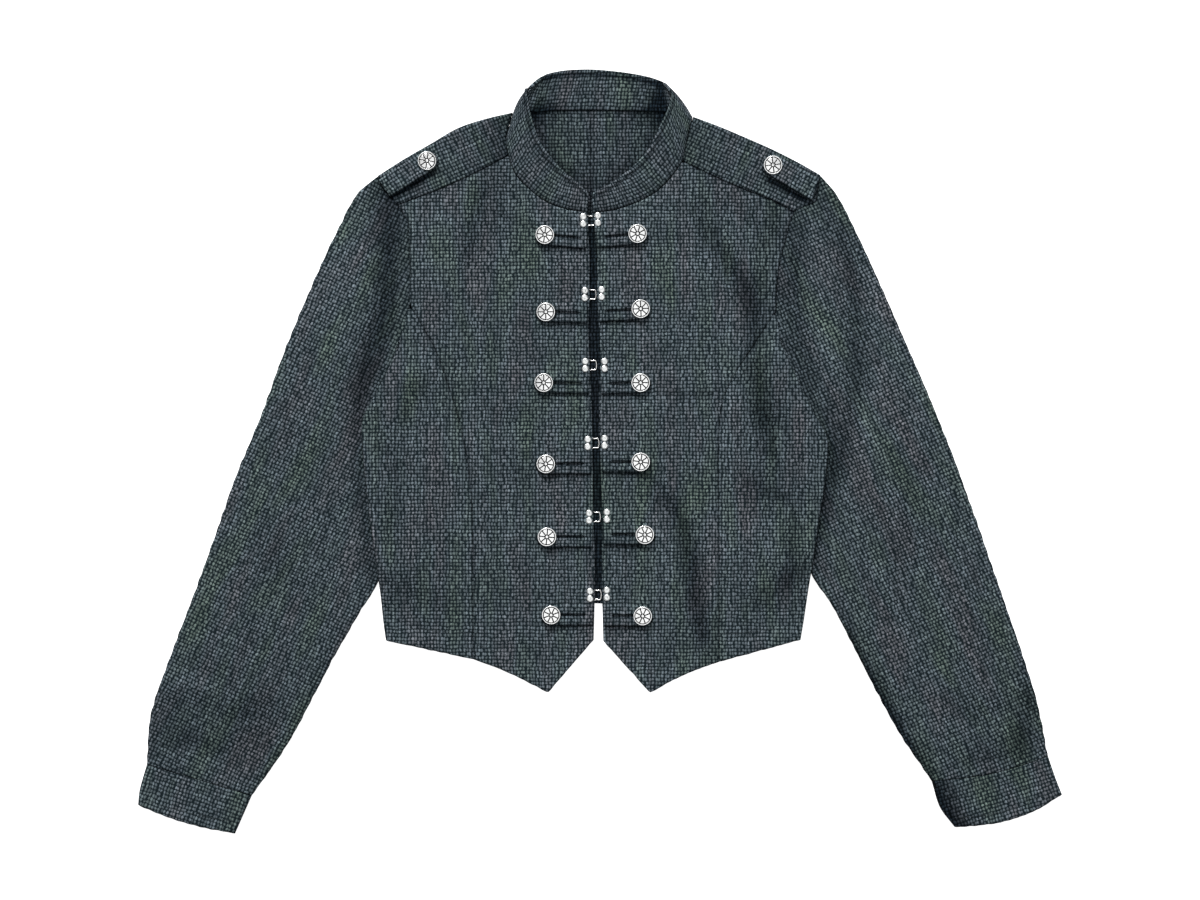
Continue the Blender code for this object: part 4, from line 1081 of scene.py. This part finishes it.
SLEEVE_CREASES = {
    "right": (
        (-0.7, 13, ((-210, 262), (-204, 214), (-205, 146), (-216, 84))),
        (0.9, 16, ((-240, 190), (-244, 130), (-252, 80))),
        (-0.5, 12, ((-434, -226), (-400, -246), (-372, -238), (-342, -252), (-316, -240))),
        (0.6, 9, ((-412, -262), (-386, -256), (-356, -268), (-334, -262))),
        (-0.5, 10, ((-432, -286), (-398, -278), (-366, -290), (-336, -278))),
        (0.5, 8, ((-404, -222), (-382, -220), (-356, -230))),
        (-0.4, 11, ((-402, -204), (-380, -212), (-350, -208))),
        (0.4, 8, ((-420, -296), (-394, -298), (-366, -306))),
        (-0.4, 14, ((-330, -60), (-316, -100), (-300, -130))),
        (-0.4, 8, ((-330, -296), (-322, -272), (-308, -254))),
        (-0.3, 12, ((-300, 60), (-306, 20), (-322, -20))),
    ),
    "left": (
        (-1.0, 12, ((216, 256), (232, 210), (244, 155), (249, 110), (247, 64), (233, -6), (213, -69))),
        (0.9, 14, ((262, 180), (273, 130), (274, 70), (262, 10), (246, -40))),
        (-0.8, 9, ((188, 200), (190, 159), (193, 112), (202, 74), (206, 40))),
        (0.8, 10, ((214, 190), (222, 140), (224, 80), (216, 20))),
        (-0.7, 11, ((424, -190), (416, -226), (408, -258), (400, -300))),
        (-0.5, 10, ((400, -232), (366, -250), (334, -246))),
        (0.5, 9, ((392, -262), (366, -272), (340, -270))),
        (-0.5, 9, ((404, -288), (372, -296), (334, -292))),
        (-0.4, 14, ((300, -30), (296, -80), (288, -130))),
    ),
}
# Painted shadows along the edge of the body and painted shade in the folds at the wrist.
SLEEVE_SHADOWS = {
    "right": (
        (0.40, 15, ((-216, 282), (-203, 240), (-202, 200), (-205, 146), (-216, 98), (-232, 40))),
        (0.44, 10, ((-226, 110), (-231, 30), (-227, -50), (-217, -122), (-212, -150))),
        (0.17, 24, ((-452, -236), (-404, -256), (-366, -262), (-330, -252), (-296, -236))),
        (0.16, 15, ((-362, -266), (-344, -260), (-320, -246))),
        (0.16, 15, ((-432, -274), (-412, -264), (-392, -262))),
        (0.26, 7, ((-233, -158), (-256, -198), (-279, -242), (-302, -284), (-335, -331))),
    ),
    "left": (
        (0.26, 11, ((212, 282), (194, 232), (184, 190), (176, 140), (186, 84), (206, 44), (224, -6))),
        (0.40, 9, ((219, 60), (220, -22), (213, -62), (202, -138))),
        (0.85, 9, ((222, -148), (246, -196), (267, -233), (290, -274), (326, -330))),
        (0.16, 14, ((428, -180), (414, -240), (402, -310))),
        (0.10, 16, ((350, -250), (372, -270), (392, -284))),
    ),
}
# Columns: outer edge x, y; inner edge x, y; how far the line bows towards the hand.
CUFF = {
    "right": (
        (-436, -301, -335, -331, 0.0),
        (-443, -326, -342, -347, 2.0),
        (-444.5, -340, -351, -367.4, 3.5),
    ),
    "left": (
        (431, -293, 319, -317, 5.0),
        (439, -316, 328, -344, 7.0),
        (444.5, -330, 341, -361, 9.0),
    ),
}


def tube_line(row):
    """Plan points across a tube, from its outer edge to its inner one."""
    outer = np.array(row[:2], float)
    return outer + (np.array(row[2:4]) - outer) * np.linspace(0, 1, TUBE_COLUMNS)[:, None]


def tube_ring(line, crown):
    """Ring of a flattened tube over a line of plan points from one edge to the other."""
    inner = line[2:-2]
    share = np.linspace(0, 1, len(line))[2:-2]
    bulge = SLEEVE_CROWN * crown * np.sin(math.pi * np.minimum(share / CROWN_SHARE, 1))
    ring = fold_arc(line[3], line[0], FLAT, 0.0, TUBE_FOLD)[::-1]
    ring += [(*point, FLAT + rise) for point, rise in zip(inner, bulge)]
    ring += fold_arc(line[-4], line[-1], FLAT, 0.0, TUBE_FOLD)
    ring += [(*point, 0.0) for point in inner[::-1]]
    return ring + ring[:1]


def upper_columns(z):
    """1 in the columns of a tube's upper face and folds, 0 beneath."""
    return np.arange(z.shape[1]) < TUBE_COLUMNS + 2 * TUBE_FOLD - 2


def tube_shade(z, shade):
    """Shade of a tube's upper face round to the middle of its folds, with shade in the folds."""
    columns = np.arange(z.shape[1])
    across = TUBE_COLUMNS - 4 + TUBE_FOLD + 1
    on_fold = (columns <= TUBE_FOLD) | ((columns >= across) & (columns <= across + TUBE_FOLD))
    folds = on_fold * np.exp(-(((z - 2.4) / 1.7) ** 2))
    return np.minimum(shade * smooth((z - 1.4) / 1.2) * upper_columns(z) + FOLD_SHADE * folds, 0.9)


def sag(line, amount):
    """Bow a line of plan points towards the hand by amount in its middle."""
    across = line[-1] - line[0]
    normal = np.array((-across[1], across[0])) / np.linalg.norm(across)
    normal *= -np.sign(normal[1])
    return line + normal * amount * np.sin(math.pi * np.linspace(0, 1, len(line)))[:, None]


for side in SIDES:
    hole = curve([ARMHOLE_TOP[side][1]] + armhole(side))
    hole = np.concatenate((np.array(ARMHOLE_TOP[side][0], float)[None], hole))
    run = run_along(hole)
    hole = at(hole, np.linspace(0, run[-1], TUBE_COLUMNS), run)
    hole[:, 0] += TUCK if side == "right" else -TUCK
    bulges = hole - tube_line(SLEEVE[side][0])
    sections = []
    for i, row in enumerate(SLEEVE[side]):
        bowed = float(smooth((i + 1 - len(SLEEVE[side]) + CUFF_FADE) / CUFF_FADE))
        line = tube_line(row) + bulges * (1 - smooth(i / HOLE_FADE))
        sections.append(tube_ring(sag(line, CUFF[side][0][4] * bowed), row[4]))
    near = (0.0, 0.9, 1.7, 2.8)
    grid = loft(sections, marks(sections, near, near, 190))
    x, y, z = np.moveaxis(grid, 2, 0).copy()
    from_hole, from_cuff = reach(grid, 0)
    x += unevenly(grid) * smooth(from_hole / 20) * smooth(from_cuff / 6)
    on_top = upper_face(z, 4.4) * upper_columns(z)
    # No ridge rises under the edge of the body, which lies on the sleeve.
    free = smooth((np.abs(x) - np.interp(y, (-160, 60, 130), (205, 215, 180))) / 10)
    folds = creased(x, y, SLEEVE_CREASES[side])
    relief = folds + waves(x, y, 31)
    z += np.where(relief > 0, relief * np.maximum(free, smooth((y - 100) / 20)), relief) * on_top
    z -= (rolled(from_hole, (1.4, 4.0)) + rolled(from_cuff, CUFF_ROLL)) * on_top
    z += 0.3 * ripple(x, y, 9, 8) * np.exp(-from_hole / 9) * on_top * smooth((from_hole - 4) / 8)
    z += 0.2 * ripple(x, y, 8, 9) * np.exp(-from_cuff / 8) * on_top
    grain = turned(x, y, SLEEVE_SLANT[side])
    # Painted shade in the armhole and cuff seams, in the troughs of the folds, along the edge of the body
    # and in the tube's folds.
    shade = 0.6 * np.exp(-from_hole / 2.2) + 0.2 * np.exp(-from_cuff / 1.4)
    shade = tube_shade(z, shade + hollow(folds) + creased(x, y, SLEEVE_SHADOWS[side]))
    under = seam_line(np.minimum(from_hole, from_cuff))
    points = np.dstack((x, y, z))
    sheet("sleeve_" + side, points, grain, tube=True, shade=shade, under=under)


# ---------------------------------------------------------------------------
# Cuffs. A doubled band of tweed on the end of each sleeve, turned in at the hand
# and stitched near its edge.
# ---------------------------------------------------------------------------

CUFF_STITCH = 10.0
CUFF_ROW = -7               # row of a cuff's points that lies under its stitches
CUFF_SHADOWS = {
    "right": ((0.25, 8, ((-330, -320), (-342, -347), (-356, -378))),),
    "left": ((0.95, 16, ((306, -296), (330, -344), (352, -380))),),
}

for side in SIDES:
    sections = [tube_ring(sag(tube_line(row), row[4]), 0.4) for row in CUFF[side]]
    lower = (0.0, 0.5, 1.1, 2.0, 6.0, CUFF_STITCH - 0.9, CUFF_STITCH, CUFF_STITCH + 0.9)
    grid = loft(sections, marks(sections, SEAM_ROWS, lower, 16))
    x, y, z = np.moveaxis(grid, 2, 0).copy()
    from_seam, from_hand = reach(grid, 0)
    y += unevenly(grid) * np.exp(-from_hand / 3)
    on_top = upper_face(z, 4.4) * upper_columns(z)
    dip = rolled(from_seam, CUFF_ROLL) + rolled(from_hand, EDGE_ROLL) + groove(from_hand - CUFF_STITCH)
    swell = 0.5 + 0.35 * waves(x, y, 41) + 0.35 * np.exp(-(((from_seam - 4) / 2.2) ** 2))
    z += (swell - dip + 0.14 * ripple(x, y, 8, 9)) * on_top
    points = np.dstack((x, y, z))
    grain = turned(x, y, SLEEVE_SLANT[side] * 0.75)
    # Painted shade in the seam, on the edge at the hand and in the folds, and a little lighter elsewhere.
    shade = 0.2 * np.exp(-from_seam / 1.4) + 0.6 * np.exp(-from_hand / 1.1) - 0.05
    shade += creased(x, y, CUFF_SHADOWS[side])
    shade = tube_shade(z, shade)
    under = seam_line(from_seam) + seam_line(from_hand - CUFF_STITCH, 0.35)
    sheet("cuff_" + side, points, grain, tube=True, shade=shade, under=under)
    stitches("stitches_cuff_" + side, (points[CUFF_ROW, TUBE_FOLD + 1 : TUBE_COLUMNS + TUBE_FOLD - 3],))


# ---------------------------------------------------------------------------
# Collar. A stand band of doubled tweed, stitched along its top edge; it rises from
# the fronts, folds at the sides of the neck and lies open at the back.
# ---------------------------------------------------------------------------

COLLAR_CLOTH = 3.0
COLLAR_HEIGHT = 10.5        # of the top edge at the sides of the neck
COLLAR_RAMP = 30.0          # width of band at which it stands that high
COLLAR_STITCH = 4.6
COLLAR_COLUMN = -6          # column of the collar's points that lies under its stitches
# Columns: neck seam x, y; top edge x, y.
COLLAR_FRONT = {
    "right": (
        (-12, 230, -11, 248),
        (-22, 231, -19, 256),
        (-35, 233.5, -26, 262),
        (-54, 241.5, -37, 271),
        (-70, 254, -48, 284),
        (-81, 266, -57, 297),
        (-88, 284, -65, 318),
        (-90, 302, -69, 338),
    ),
    "left": (
        (-7.5, 229, -7.5, 248),
        (17, 233, 9, 257),
        (39, 241, 22, 266),
        (56, 251, 35, 277),
        (67, 262, 46, 290),
        (74, 271, 53, 303),
        (79, 279, 59, 316),
        (84, 302, 68, 338),
    ),
}
# Round the side of the neck. Columns: neck seam x, y and share of its height; top edge
# x, y and share of its height.
COLLAR_TURN = {
    "right": (
        (-87.0, 312, 1.0, -70.2, 345.4, 0.98),
        (-85.2, 320, 0.75, -68.0, 350.2, 0.85),
        (-82.6, 325.6, 0.30, -64.2, 354.4, 0.60),
        (-77.0, 328.2, 0.08, -60.0, 358.2, 0.34),
        (-71.0, 328.2, 0.0, -56.8, 360.6, 0.12),
    ),
    "left": (
        (86.2, 311, 1.0, 68.6, 343.6, 0.98),
        (88.2, 317.4, 0.75, 67.4, 348.4, 0.85),
        (88.6, 322.4, 0.35, 65.4, 351.8, 0.60),
        (83.0, 326.0, 0.10, 63.6, 353.9, 0.34),
        (73.0, 327.2, 0.0, 62.2, 355.0, 0.12),
    ),
}
# Sections at the sides of the neck, and how far the band bulges there.
COLLAR_BOW = ((9.5, 2.6), (23.5, 1.8))
COLLAR_BACK = (
    (-66, 327.5, -54, 362),
    (-47, 328.5, -38, 366),
    (-28, 329, -21, 367.4),
    (-9, 329.3, -5, 367.4),
    (8, 329, 12, 366),
    (26, 328.5, 31, 363.5),
    (44, 328, 48, 360),
    (62, 327.5, 61, 355.5),
)
# Shadows in the corners behind the sides of the collar.
COLLAR_SHADOWS = (
    (0.35, 9, ((-50, 372), (-56, 350), (-60, 334), (-64, 316))),
    (0.45, 7, ((-72, 326), (-54, 330), (-38, 331))),
    (0.90, 14, ((64, 372), (64, 350), (63, 336), (62, 312))),
    (0.75, 9, ((74, 324), (60, 327), (44, 329))),
)
# Last section of each stretch of the collar, and how many rows of points lead to it.
COLLAR_ROWS = ((7, 60), (13, 45), (20, 54), (26, 45), (33, 60))


def collar_ends(side):
    """Seam and top points of one side of the collar, from the front end to the back."""
    ends = []
    for seam_x, seam_y, top_x, top_y in COLLAR_FRONT[side]:
        width = math.dist((seam_x, seam_y), (top_x, top_y))
        low = float(body_top(np.array(float(seam_x)), np.array(float(seam_y))))
        high = low + (COLLAR_HEIGHT - low) * float(smooth(width / COLLAR_RAMP))
        ends.append(((seam_x, seam_y, low), (top_x, top_y, high)))
    for seam_x, seam_y, seam_share, top_x, top_y, top_share in COLLAR_TURN[side]:
        ends.append(((seam_x, seam_y, low * seam_share), (top_x, top_y, high * top_share)))
    return ends


flat_back = [((sx, sy - TUCK, 0.0), (tx, ty, 0.0)) for sx, sy, tx, ty in COLLAR_BACK]
stitched = (COLLAR_STITCH - 0.8, COLLAR_STITCH, COLLAR_STITCH + 0.8)
sections = []
for seam, top in collar_ends("right") + flat_back + collar_ends("left")[::-1]:
    width = math.dist(seam, top)
    places = spread(width, (0.0, 0.8, 1.6, 2.8), (0.0, 0.4, 0.9, 1.6, *stitched), 12)
    sections.append([lerp(seam, top, place / width) for place in places])
stretches = []
first = 0
for last, count in COLLAR_ROWS:
    stretches.append(np.linspace(first, last, count)[:-1])
    first = last
where = np.concatenate((*stretches, [last]))
grid = loft(sections, where)
from_seam, from_edge = reach(grid, 1)
across = from_seam / (from_seam + from_edge)
turning = sum(bulge * np.exp(-(((where - middle) / 2.6) ** 2)) for middle, bulge in COLLAR_BOW)
outward = grid[:, :, :2] - np.array(NECK_CENTRE)
outward /= np.linalg.norm(outward, axis=2, keepdims=True)
grid[:, :, :2] += outward * (np.sin(math.pi * across) * turning[:, None])[:, :, None]
x, y, z = np.moveaxis(grid, 2, 0).copy()
raised = smooth((z - 1.5) / 6.0)
from_front = np.minimum(where, last - where)
faces_up = smooth((9.6 - from_front) / 1.6)[:, None]
dip = rolled(from_seam, SEAM_ROLL) + rolled(from_edge, (0.8, 1.5)) + groove(from_edge - COLLAR_STITCH, 0.4)
bow = 1.1 * np.sin(math.pi * across) + 0.5 * waves(x, y, 51)
z += (bow - dip) * raised * faces_up
points = np.dstack((x, y, np.maximum(z, 0)))
run, _ = reach(grid[:, :1], 0)
grain = np.dstack((np.broadcast_to(run, x.shape), from_seam))
# Painted shade in the neck seam, along the stitches, on the back band and in its corners; a painted
# highlight along the top edge.
shade = 0.5 * np.exp(-from_seam / 1.5) + 0.75 * groove(from_edge - COLLAR_STITCH, 1, 1.3)
shade -= 0.14 * smooth(COLLAR_STITCH - 1 - from_edge) * raised
behind = (smooth((where - 12) / 1.5) * smooth((21 - where) / 1.5))[:, None]
shade = np.minimum(shade + (creased(x, y, COLLAR_SHADOWS) + 0.10) * behind + 0.10, DARKEST)
under = seam_line(from_seam) + seam_line(from_edge - COLLAR_STITCH, 0.35)
sheet("collar", points, grain, wall=COLLAR_CLOTH, shade=shade, under=under)
stitches("stitches_collar", (points[2:62, COLLAR_COLUMN], points[-62:-2, COLLAR_COLUMN]))


# ---------------------------------------------------------------------------
# Shoulder straps. A folded strap sewn into each armhole seam, with a round end
# under its button; its lower edge stands off the yoke.
# ---------------------------------------------------------------------------

LAY_GAP = 0.4               # between a strap and what it lies on
TAB_CLOTH = 2.4             # thickness of a folded strap
STRAP_WALL = 1.7            # thickness of the shell that stands for it
STRAP_ROWS = (0.0, 0.4, 0.9, 1.7)
# Upper and lower corner at the armhole, middle of the button, half width.
SHOULDER_STRAP = {
    "right": ((-212.5, 261.0), (-201.0, 245.0), (-166, 279), 10.6),
    "left": ((210.5, 262.5), (203.0, 240.5), (166, 275), 10.6),
}


def height_on(tree, x, y):
    """Height in millimetres of the highest face at a plan point."""
    hit = tree.ray_cast(Vector((x * MM, y * MM, 0.05)), Vector((0, 0, -1)))[0]
    return hit.z / MM if hit else FLAT


for side, (*corners, half) in SHOULDER_STRAP.items():
    top, low, button_at = np.array(corners, float)
    axis = button_at - (top + low) / 2
    length = np.linalg.norm(axis)
    axis /= length
    normal = np.array((-axis[1], axis[0]))
    normal *= np.sign(normal[1])
    rows = []
    for along in spread(length + half, (0.0, 0.6, 1.4), (0.15, 0.5, 1.0, 1.8, 3.0), 34):
        past = max(along - length, 0.0)
        reach_half = math.sqrt(max(half * half - past * past, 0.0))
        upper = button_at + axis * past + normal * reach_half
        lower = button_at + axis * past - normal * reach_half
        if not past:
            upper = top + (upper - top) * (along / length)
            lower = low + (lower - low) * (along / length)
        width = math.dist(upper, lower)
        rows.append(upper + (lower - upper) * (spread(width, STRAP_ROWS, STRAP_ROWS, 14) / width)[:, None])
    plan = np.array(rows)
    x, y = plan[:, :, 0], plan[:, :, 1]
    from_upper, from_lower = reach(plan, 1)
    from_hole, from_tip = reach(plan, 0)
    rest = np.array([[height_on(yoke_trees[side], a, b) for a, b in row] for row in plan])
    rest = np.maximum(rest, np.median(rest) - 0.6)
    lift = smooth(from_hole / 14) * smooth((from_tip - 16) / 14) * smooth(1 - from_lower / 14)
    z = rest + LAY_GAP + TAB_CLOTH - 0.2 + 1.3 * lift + 0.15 * ripple(x, y, 14, 61)
    z -= rolled(np.minimum(from_upper, from_lower), (1.1, 1.7)) + rolled(from_tip, (1.1, 1.7))
    z += 0.5 * np.sin(math.pi * from_upper / np.maximum(from_upper + from_lower, 1e-6))
    grain = turned(x, y, math.degrees(math.atan2(axis[1], axis[0])))
    # Painted shadow along the lower edge, and painted shade at the tip and at the armhole.
    shade = 0.8 * np.exp(-((from_lower / 1.3) ** 2))
    shade += 0.25 * np.exp(-from_tip / 1.2) + 0.3 * np.exp(-from_hole / 1.5)
    shade = np.minimum(shade, 0.85)
    points = np.dstack((x, y, z))
    sheet("shoulder_strap_" + side, points, grain, wall=STRAP_WALL, shade=shade)


# ---------------------------------------------------------------------------
# Front straps. Twelve hairpins of folded tweed, sewn down at the front edge, each
# with a narrow slit between its two runs and a round end under its button.
# ---------------------------------------------------------------------------

TAB_EDGE = 1.5              # from the front edge to the start of a strap
TAB_WALL = 1.6              # thickness of a front strap's shell
TAB_SLIT = 1.25
TAB_SLIT_END = 8.0          # where the slit closes, near the front edge
STUD_SPACING = 7.1
STUD_RADIUS = 3.8
TAB_ROWS = (0.0, 0.35, 0.8, 1.5)
TAB_SHADE = 0.95            # painted shade in the slit and along the lower edges


def hairpin(button_at, square):
    """Plan points of a strap: rows along its run, from the outer edge to the slit, and how open it is."""
    axis = button_at - square
    length = np.linalg.norm(axis)
    axis /= length
    normal = np.array((-axis[1], axis[0]))
    straight = np.concatenate(([0.1, 0.6, 1.3], np.linspace(3, length, 18)))
    turns = np.linspace(0, math.pi, 22)[1:-1]
    stops = [(square + axis * along, normal, along) for along in straight]
    stops += [(button_at, axis * math.sin(angle) + normal * math.cos(angle), length) for angle in turns]
    stops += [(square + axis * along, -normal, along) for along in straight[::-1]]
    rows = []
    for base, out, along in stops:
        opened = float(smooth((along - TAB_SLIT_END + 2) / 3))
        inner = 0.03 + (TAB_SLIT / 2 - 0.03) * opened
        places = TAB_HALF - spread(TAB_HALF - inner, TAB_ROWS, TAB_ROWS, 5)
        rows.append([(*(base + out * place), opened) for place in places])
    return np.array(rows)


for number, (rx, ry, lx, ly, right_stud, left_stud) in enumerate(CLOSURES, 1):
    for side, x0, y0, stud_y in (("right", rx, ry, right_stud), ("left", lx, ly, left_stud)):
        inward = -1 if side == "right" else 1
        lowest = stud_y - STUD_SPACING / 2 - STUD_RADIUS - TAB_HALF - LAY_GAP
        square = np.array((edge_at(side, y0) + inward * TAB_EDGE, min(y0, lowest)))
        x, y, opened = np.moveaxis(hairpin(np.array((x0, y0), float), square), 2, 0)
        plan = np.dstack((x, y))
        from_outer, from_inner = reach(plan, 1)
        from_square = np.minimum(*reach(plan, 0))
        below = smooth((square[1] - y) / 8 + 0.5)
        dip = rolled(from_outer, (1.2, 1.9)) * (0.6 + 0.4 * below)
        dip += rolled(from_inner, (1.0, 1.6)) * opened + rolled(from_square, (0.9, 1.4))
        z = body_top(x, y) + LAY_GAP + TAB_CLOTH - 0.15 - dip + 0.12 * ripple(x, y, 8, 70 + number)
        shade = opened * np.exp(-((from_inner / 1.0) ** 2)) + below * np.exp(-((from_outer / 1.25) ** 2))
        shade = np.minimum(TAB_SHADE * shade, TAB_SHADE)
        points = np.dstack((x, y, z))
        sheet(f"tab_{side}_{number}", points, plan, wall=TAB_WALL, shade=shade)


# ---------------------------------------------------------------------------
# Buttons. Cast silver-coloured metal, 18 mm across: a raised rim round a face of
# radiating ribs, darkened in the hollows. Two more close the shoulder straps.
# ---------------------------------------------------------------------------

BUTTON_RADIUS = 9.0
BUTTON_BODY = 1.5
BUTTON_STEPS = 24
BUTTON_RIBS = 8
BUTTON_FIELD = (7.6, 1.9)   # outer and inner radius of the ribbed field
BUTTON_DOME = 0.4
BUTTON_FLOOR = 1.70         # height of the field at its outer edge
# Insets of the face, each a width and a rise: the rim, the boss in the middle, a rib.
RIM_INSETS = ((0.25, 0.38), (0.7, 0.02), (0.25, -0.2), (0.2, 0.0))
BOSS_INSETS = ((0.3, 0.0), (0.15, 0.42), (0.5, 0.12))
RIB_INSETS = ((0.42, 0.0), (0.08, 0.42), (0.04, 0.04))


def metal(name, colour, roughness, scratch):
    """Metal with faint cloudy wear."""
    made, tree, shader = new_material(name)
    cloud = noise(tree, node(tree, "ShaderNodeTexCoord").outputs["Object"], 700.0, 3.0)[0]
    tone = remap(tree, cloud, (0.3, 0.7), (0.86, 1.04))
    grey = node(tree, "ShaderNodeCombineColor", {0: tone, 1: tone, 2: tone}).outputs[0]
    fill(tree, shader, {
        "Base Color": tinted(tree, (*colour, 1), grey),
        "Normal": bumped(tree, cloud, 0.25, 0.0001),
        "Roughness": remap(tree, cloud, (0.3, 0.7), (roughness - scratch, roughness + scratch)),
        "Metallic": 1.0,
    })
    return made


silver = metal("silver", (0.97, 0.98, 0.97), 0.34, 0.06)
patina = metal("patina", (0.012, 0.012, 0.013), 0.6, 0.1)


def pick(mesh, test):
    """In edit mode, select just the faces that pass a test of their centre and normal."""
    bpy.ops.object.mode_set(mode="OBJECT")
    chosen = [face for face in mesh.polygons if test(face.center, face.normal)]
    for group in (mesh.polygons, mesh.edges, mesh.vertices):
        group.foreach_set("select", [False] * len(group))
    for face in chosen:
        face.select = True
        for index in face.vertices:
            mesh.vertices[index].select = True
    bpy.ops.object.mode_set(mode="EDIT")
    bpy.ops.mesh.select_mode(type="FACE")


def inset(steps):
    """Inset the selected region in steps of a width and a rise, in millimetres."""
    for width, rise in steps:
        bpy.ops.mesh.inset(thickness=width * MM, depth=rise * MM)


def cast_button():
    """The mesh of one button at the origin, its back at height 0."""
    place = (0, 0, BUTTON_BODY / 2 * MM)
    size = {"radius": BUTTON_RADIUS * MM, "depth": BUTTON_BODY * MM}
    bpy.ops.mesh.primitive_cylinder_add(vertices=BUTTON_STEPS, location=place, **size)
    bpy.ops.object.transform_apply(location=True, rotation=False, scale=False)
    made = bpy.context.object
    mesh = made.data
    outer, inner = BUTTON_FIELD
    bpy.ops.object.mode_set(mode="EDIT")
    pick(mesh, lambda centre, normal: normal.z > 0.9)
    inset((*RIM_INSETS, (outer - inner, BUTTON_DOME), *BOSS_INSETS))
    for rib in range(BUTTON_RIBS):

        def on_rib(centre, normal, low=math.tau * rib / BUTTON_RIBS):
            turn = (math.atan2(centre.y, centre.x) - low) % math.tau
            inside = inner < math.hypot(centre.x, centre.y) / MM < outer
            return inside and normal.z > 0.9 and turn < math.tau / BUTTON_RIBS

        pick(mesh, on_rib)
        inset(RIB_INSETS)
    bpy.ops.object.mode_set(mode="OBJECT")
    mesh.materials.append(silver)
    mesh.materials.append(patina)
    for face in mesh.polygons:
        radius = math.hypot(face.center.x, face.center.y) / MM
        floor = BUTTON_FLOOR + BUTTON_DOME * (outer - radius) / (outer - inner)
        low_down = face.center.z / MM - floor < 0.36
        face.material_index = int(low_down and inner - 0.25 < radius < outer + 0.4)
    bpy.ops.object.shade_smooth_by_angle(angle=math.radians(35))
    bevel = made.modifiers.new("Cast edges", "BEVEL")
    bevel.width = 0.07 * MM
    bevel.segments = 1
    bevel.limit_method = "ANGLE"
    bevel.angle_limit = math.radians(40)
    bpy.ops.object.modifier_apply(modifier=bevel.name)
    finished = mesh.copy()
    bpy.data.objects.remove(made)
    return finished


def place_copy(name, mesh, place, turn, tilt, slot_name, stands_for):
    """A copy of a small piece with its own mesh, turned, tilted and moved to its place."""
    copy = mesh.copy()
    copy.transform(Matrix.LocRotScale(Vector(place), Euler((*tilt, turn)), None))
    return put(bpy.data.objects.new(name, copy), slot_name, stands_for)


cast_mesh = cast_button()
lots = np.random.default_rng(4)
button_names = [f"button_{side}_{number}" for side in SIDES for number in range(1, 7)]
for name in button_names + ["button_shoulder_right", "button_shoulder_left"]:
    low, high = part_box(name)
    place = ((low.x + high.x) / 2, (low.y + high.y) / 2, low.z)
    tilt = lots.uniform(-0.05, 0.05, 2)
    place_copy(name + "_cast", cast_mesh, place, lots.uniform(0, math.tau), tilt, "button_metal", name)


# ---------------------------------------------------------------------------
# Rivet caps. Bright nickel caps in pairs beside the opening, which hold the hooks
# and eyes; each cap is a low dome with a small dimple.
# ---------------------------------------------------------------------------

CAP_HEIGHT = 1.2
CAP_RADIUS = 3.45

nickel = metal("nickel", (0.88, 0.90, 0.89), 0.36, 0.05)
bpy.ops.mesh.primitive_uv_sphere_add(segments=28, ring_count=14, radius=CAP_RADIUS * MM)
cap_model = bpy.context.object
mesh = cap_model.data
for vertex in mesh.vertices:
    radius = math.hypot(vertex.co.x, vertex.co.y) / MM
    dome = CAP_HEIGHT * (1 - min(radius / CAP_RADIUS, 1) ** 5) ** 0.5
    dimple = 0.22 * math.exp(-((radius / 1.1) ** 4))
    vertex.co.z = (dome - dimple) * MM if vertex.co.z > 0 else 0.0
mesh.materials.append(nickel)
bpy.ops.object.shade_smooth_by_angle(angle=math.radians(50))
cap_mesh = mesh.copy()
bpy.data.objects.remove(cap_model)

for number in range(1, 7):
    for side in SIDES:
        name = f"studs_{side}_{number}"
        low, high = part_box(name)
        middle = (low + high) / 2
        for label, dy in (("_lower", -STUD_SPACING / 2), ("_upper", STUD_SPACING / 2)):
            tilt = lots.uniform(-0.10, 0.10, 2)
            place = (middle.x, middle.y + dy * MM, low.z)
            place_copy(name + label, cap_mesh, place, lots.uniform(0, math.tau), tilt, "stud_metal", name)


# ---------------------------------------------------------------------------
# Wire eyes. Bent bright wire sewn under the right front; the bar of each one lies
# in the opening, where the hook of the left front would catch it.
# ---------------------------------------------------------------------------

EYE_REACH = 5.6             # from the front edge to the bar
EYE_HALF = 4.4              # half the width of the loop
EYE_FLARE = 2.4             # how far its ends spread under the front
EYE_HIDDEN = 5.0            # how far they reach under it
EYE_NECK = 1.1
EYE_BEND = 0.7              # radius of the bar's corners
EYE_WIRE = 0.65             # radius of the wire

wire = metal("bright_wire", (0.97, 0.97, 0.95), 0.25, 0.05)
for number in range(1, 7):
    name = f"eye_{number}"
    low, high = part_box(name)
    y0 = (low.y + high.y) / 2 / MM
    bar = high.x / MM - 0.45
    edge_x = bar - EYE_REACH
    near = EYE_BEND * (1 - math.cos(math.pi / 4))
    half_route = [
        (edge_x - EYE_HIDDEN, y0 - EYE_HALF - EYE_FLARE),
        (edge_x - EYE_NECK, y0 - EYE_HALF - EYE_FLARE / 2),
        (edge_x + EYE_NECK, y0 - EYE_HALF),
        (bar - EYE_BEND, y0 - EYE_HALF),
        (bar - near, y0 - EYE_HALF + near),
        (bar, y0 - EYE_HALF + EYE_BEND),
    ]
    route = half_route + [(px, 2 * y0 - py) for px, py in reversed(half_route)]
    bent = curve(route, 4)
    line = bpy.data.curves.new(name, "CURVE")
    line.dimensions = "3D"
    line.bevel_depth = EYE_WIRE * MM
    line.bevel_resolution = 3
    line.use_fill_caps = True
    spline = line.splines.new("POLY")
    spline.points.add(len(bent) - 1)
    height = (low.z + high.z) / 2
    for point, (px, py) in zip(spline.points, bent):
        point.co = (px * MM, py * MM, height, 1)
    line.materials.append(wire)
    put(bpy.data.objects.new(name + "_wire", line), "wire_metal", name)


# ---------------------------------------------------------------------------
# The end: the bounds of the objects that the scene shows.
# ---------------------------------------------------------------------------

low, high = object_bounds()
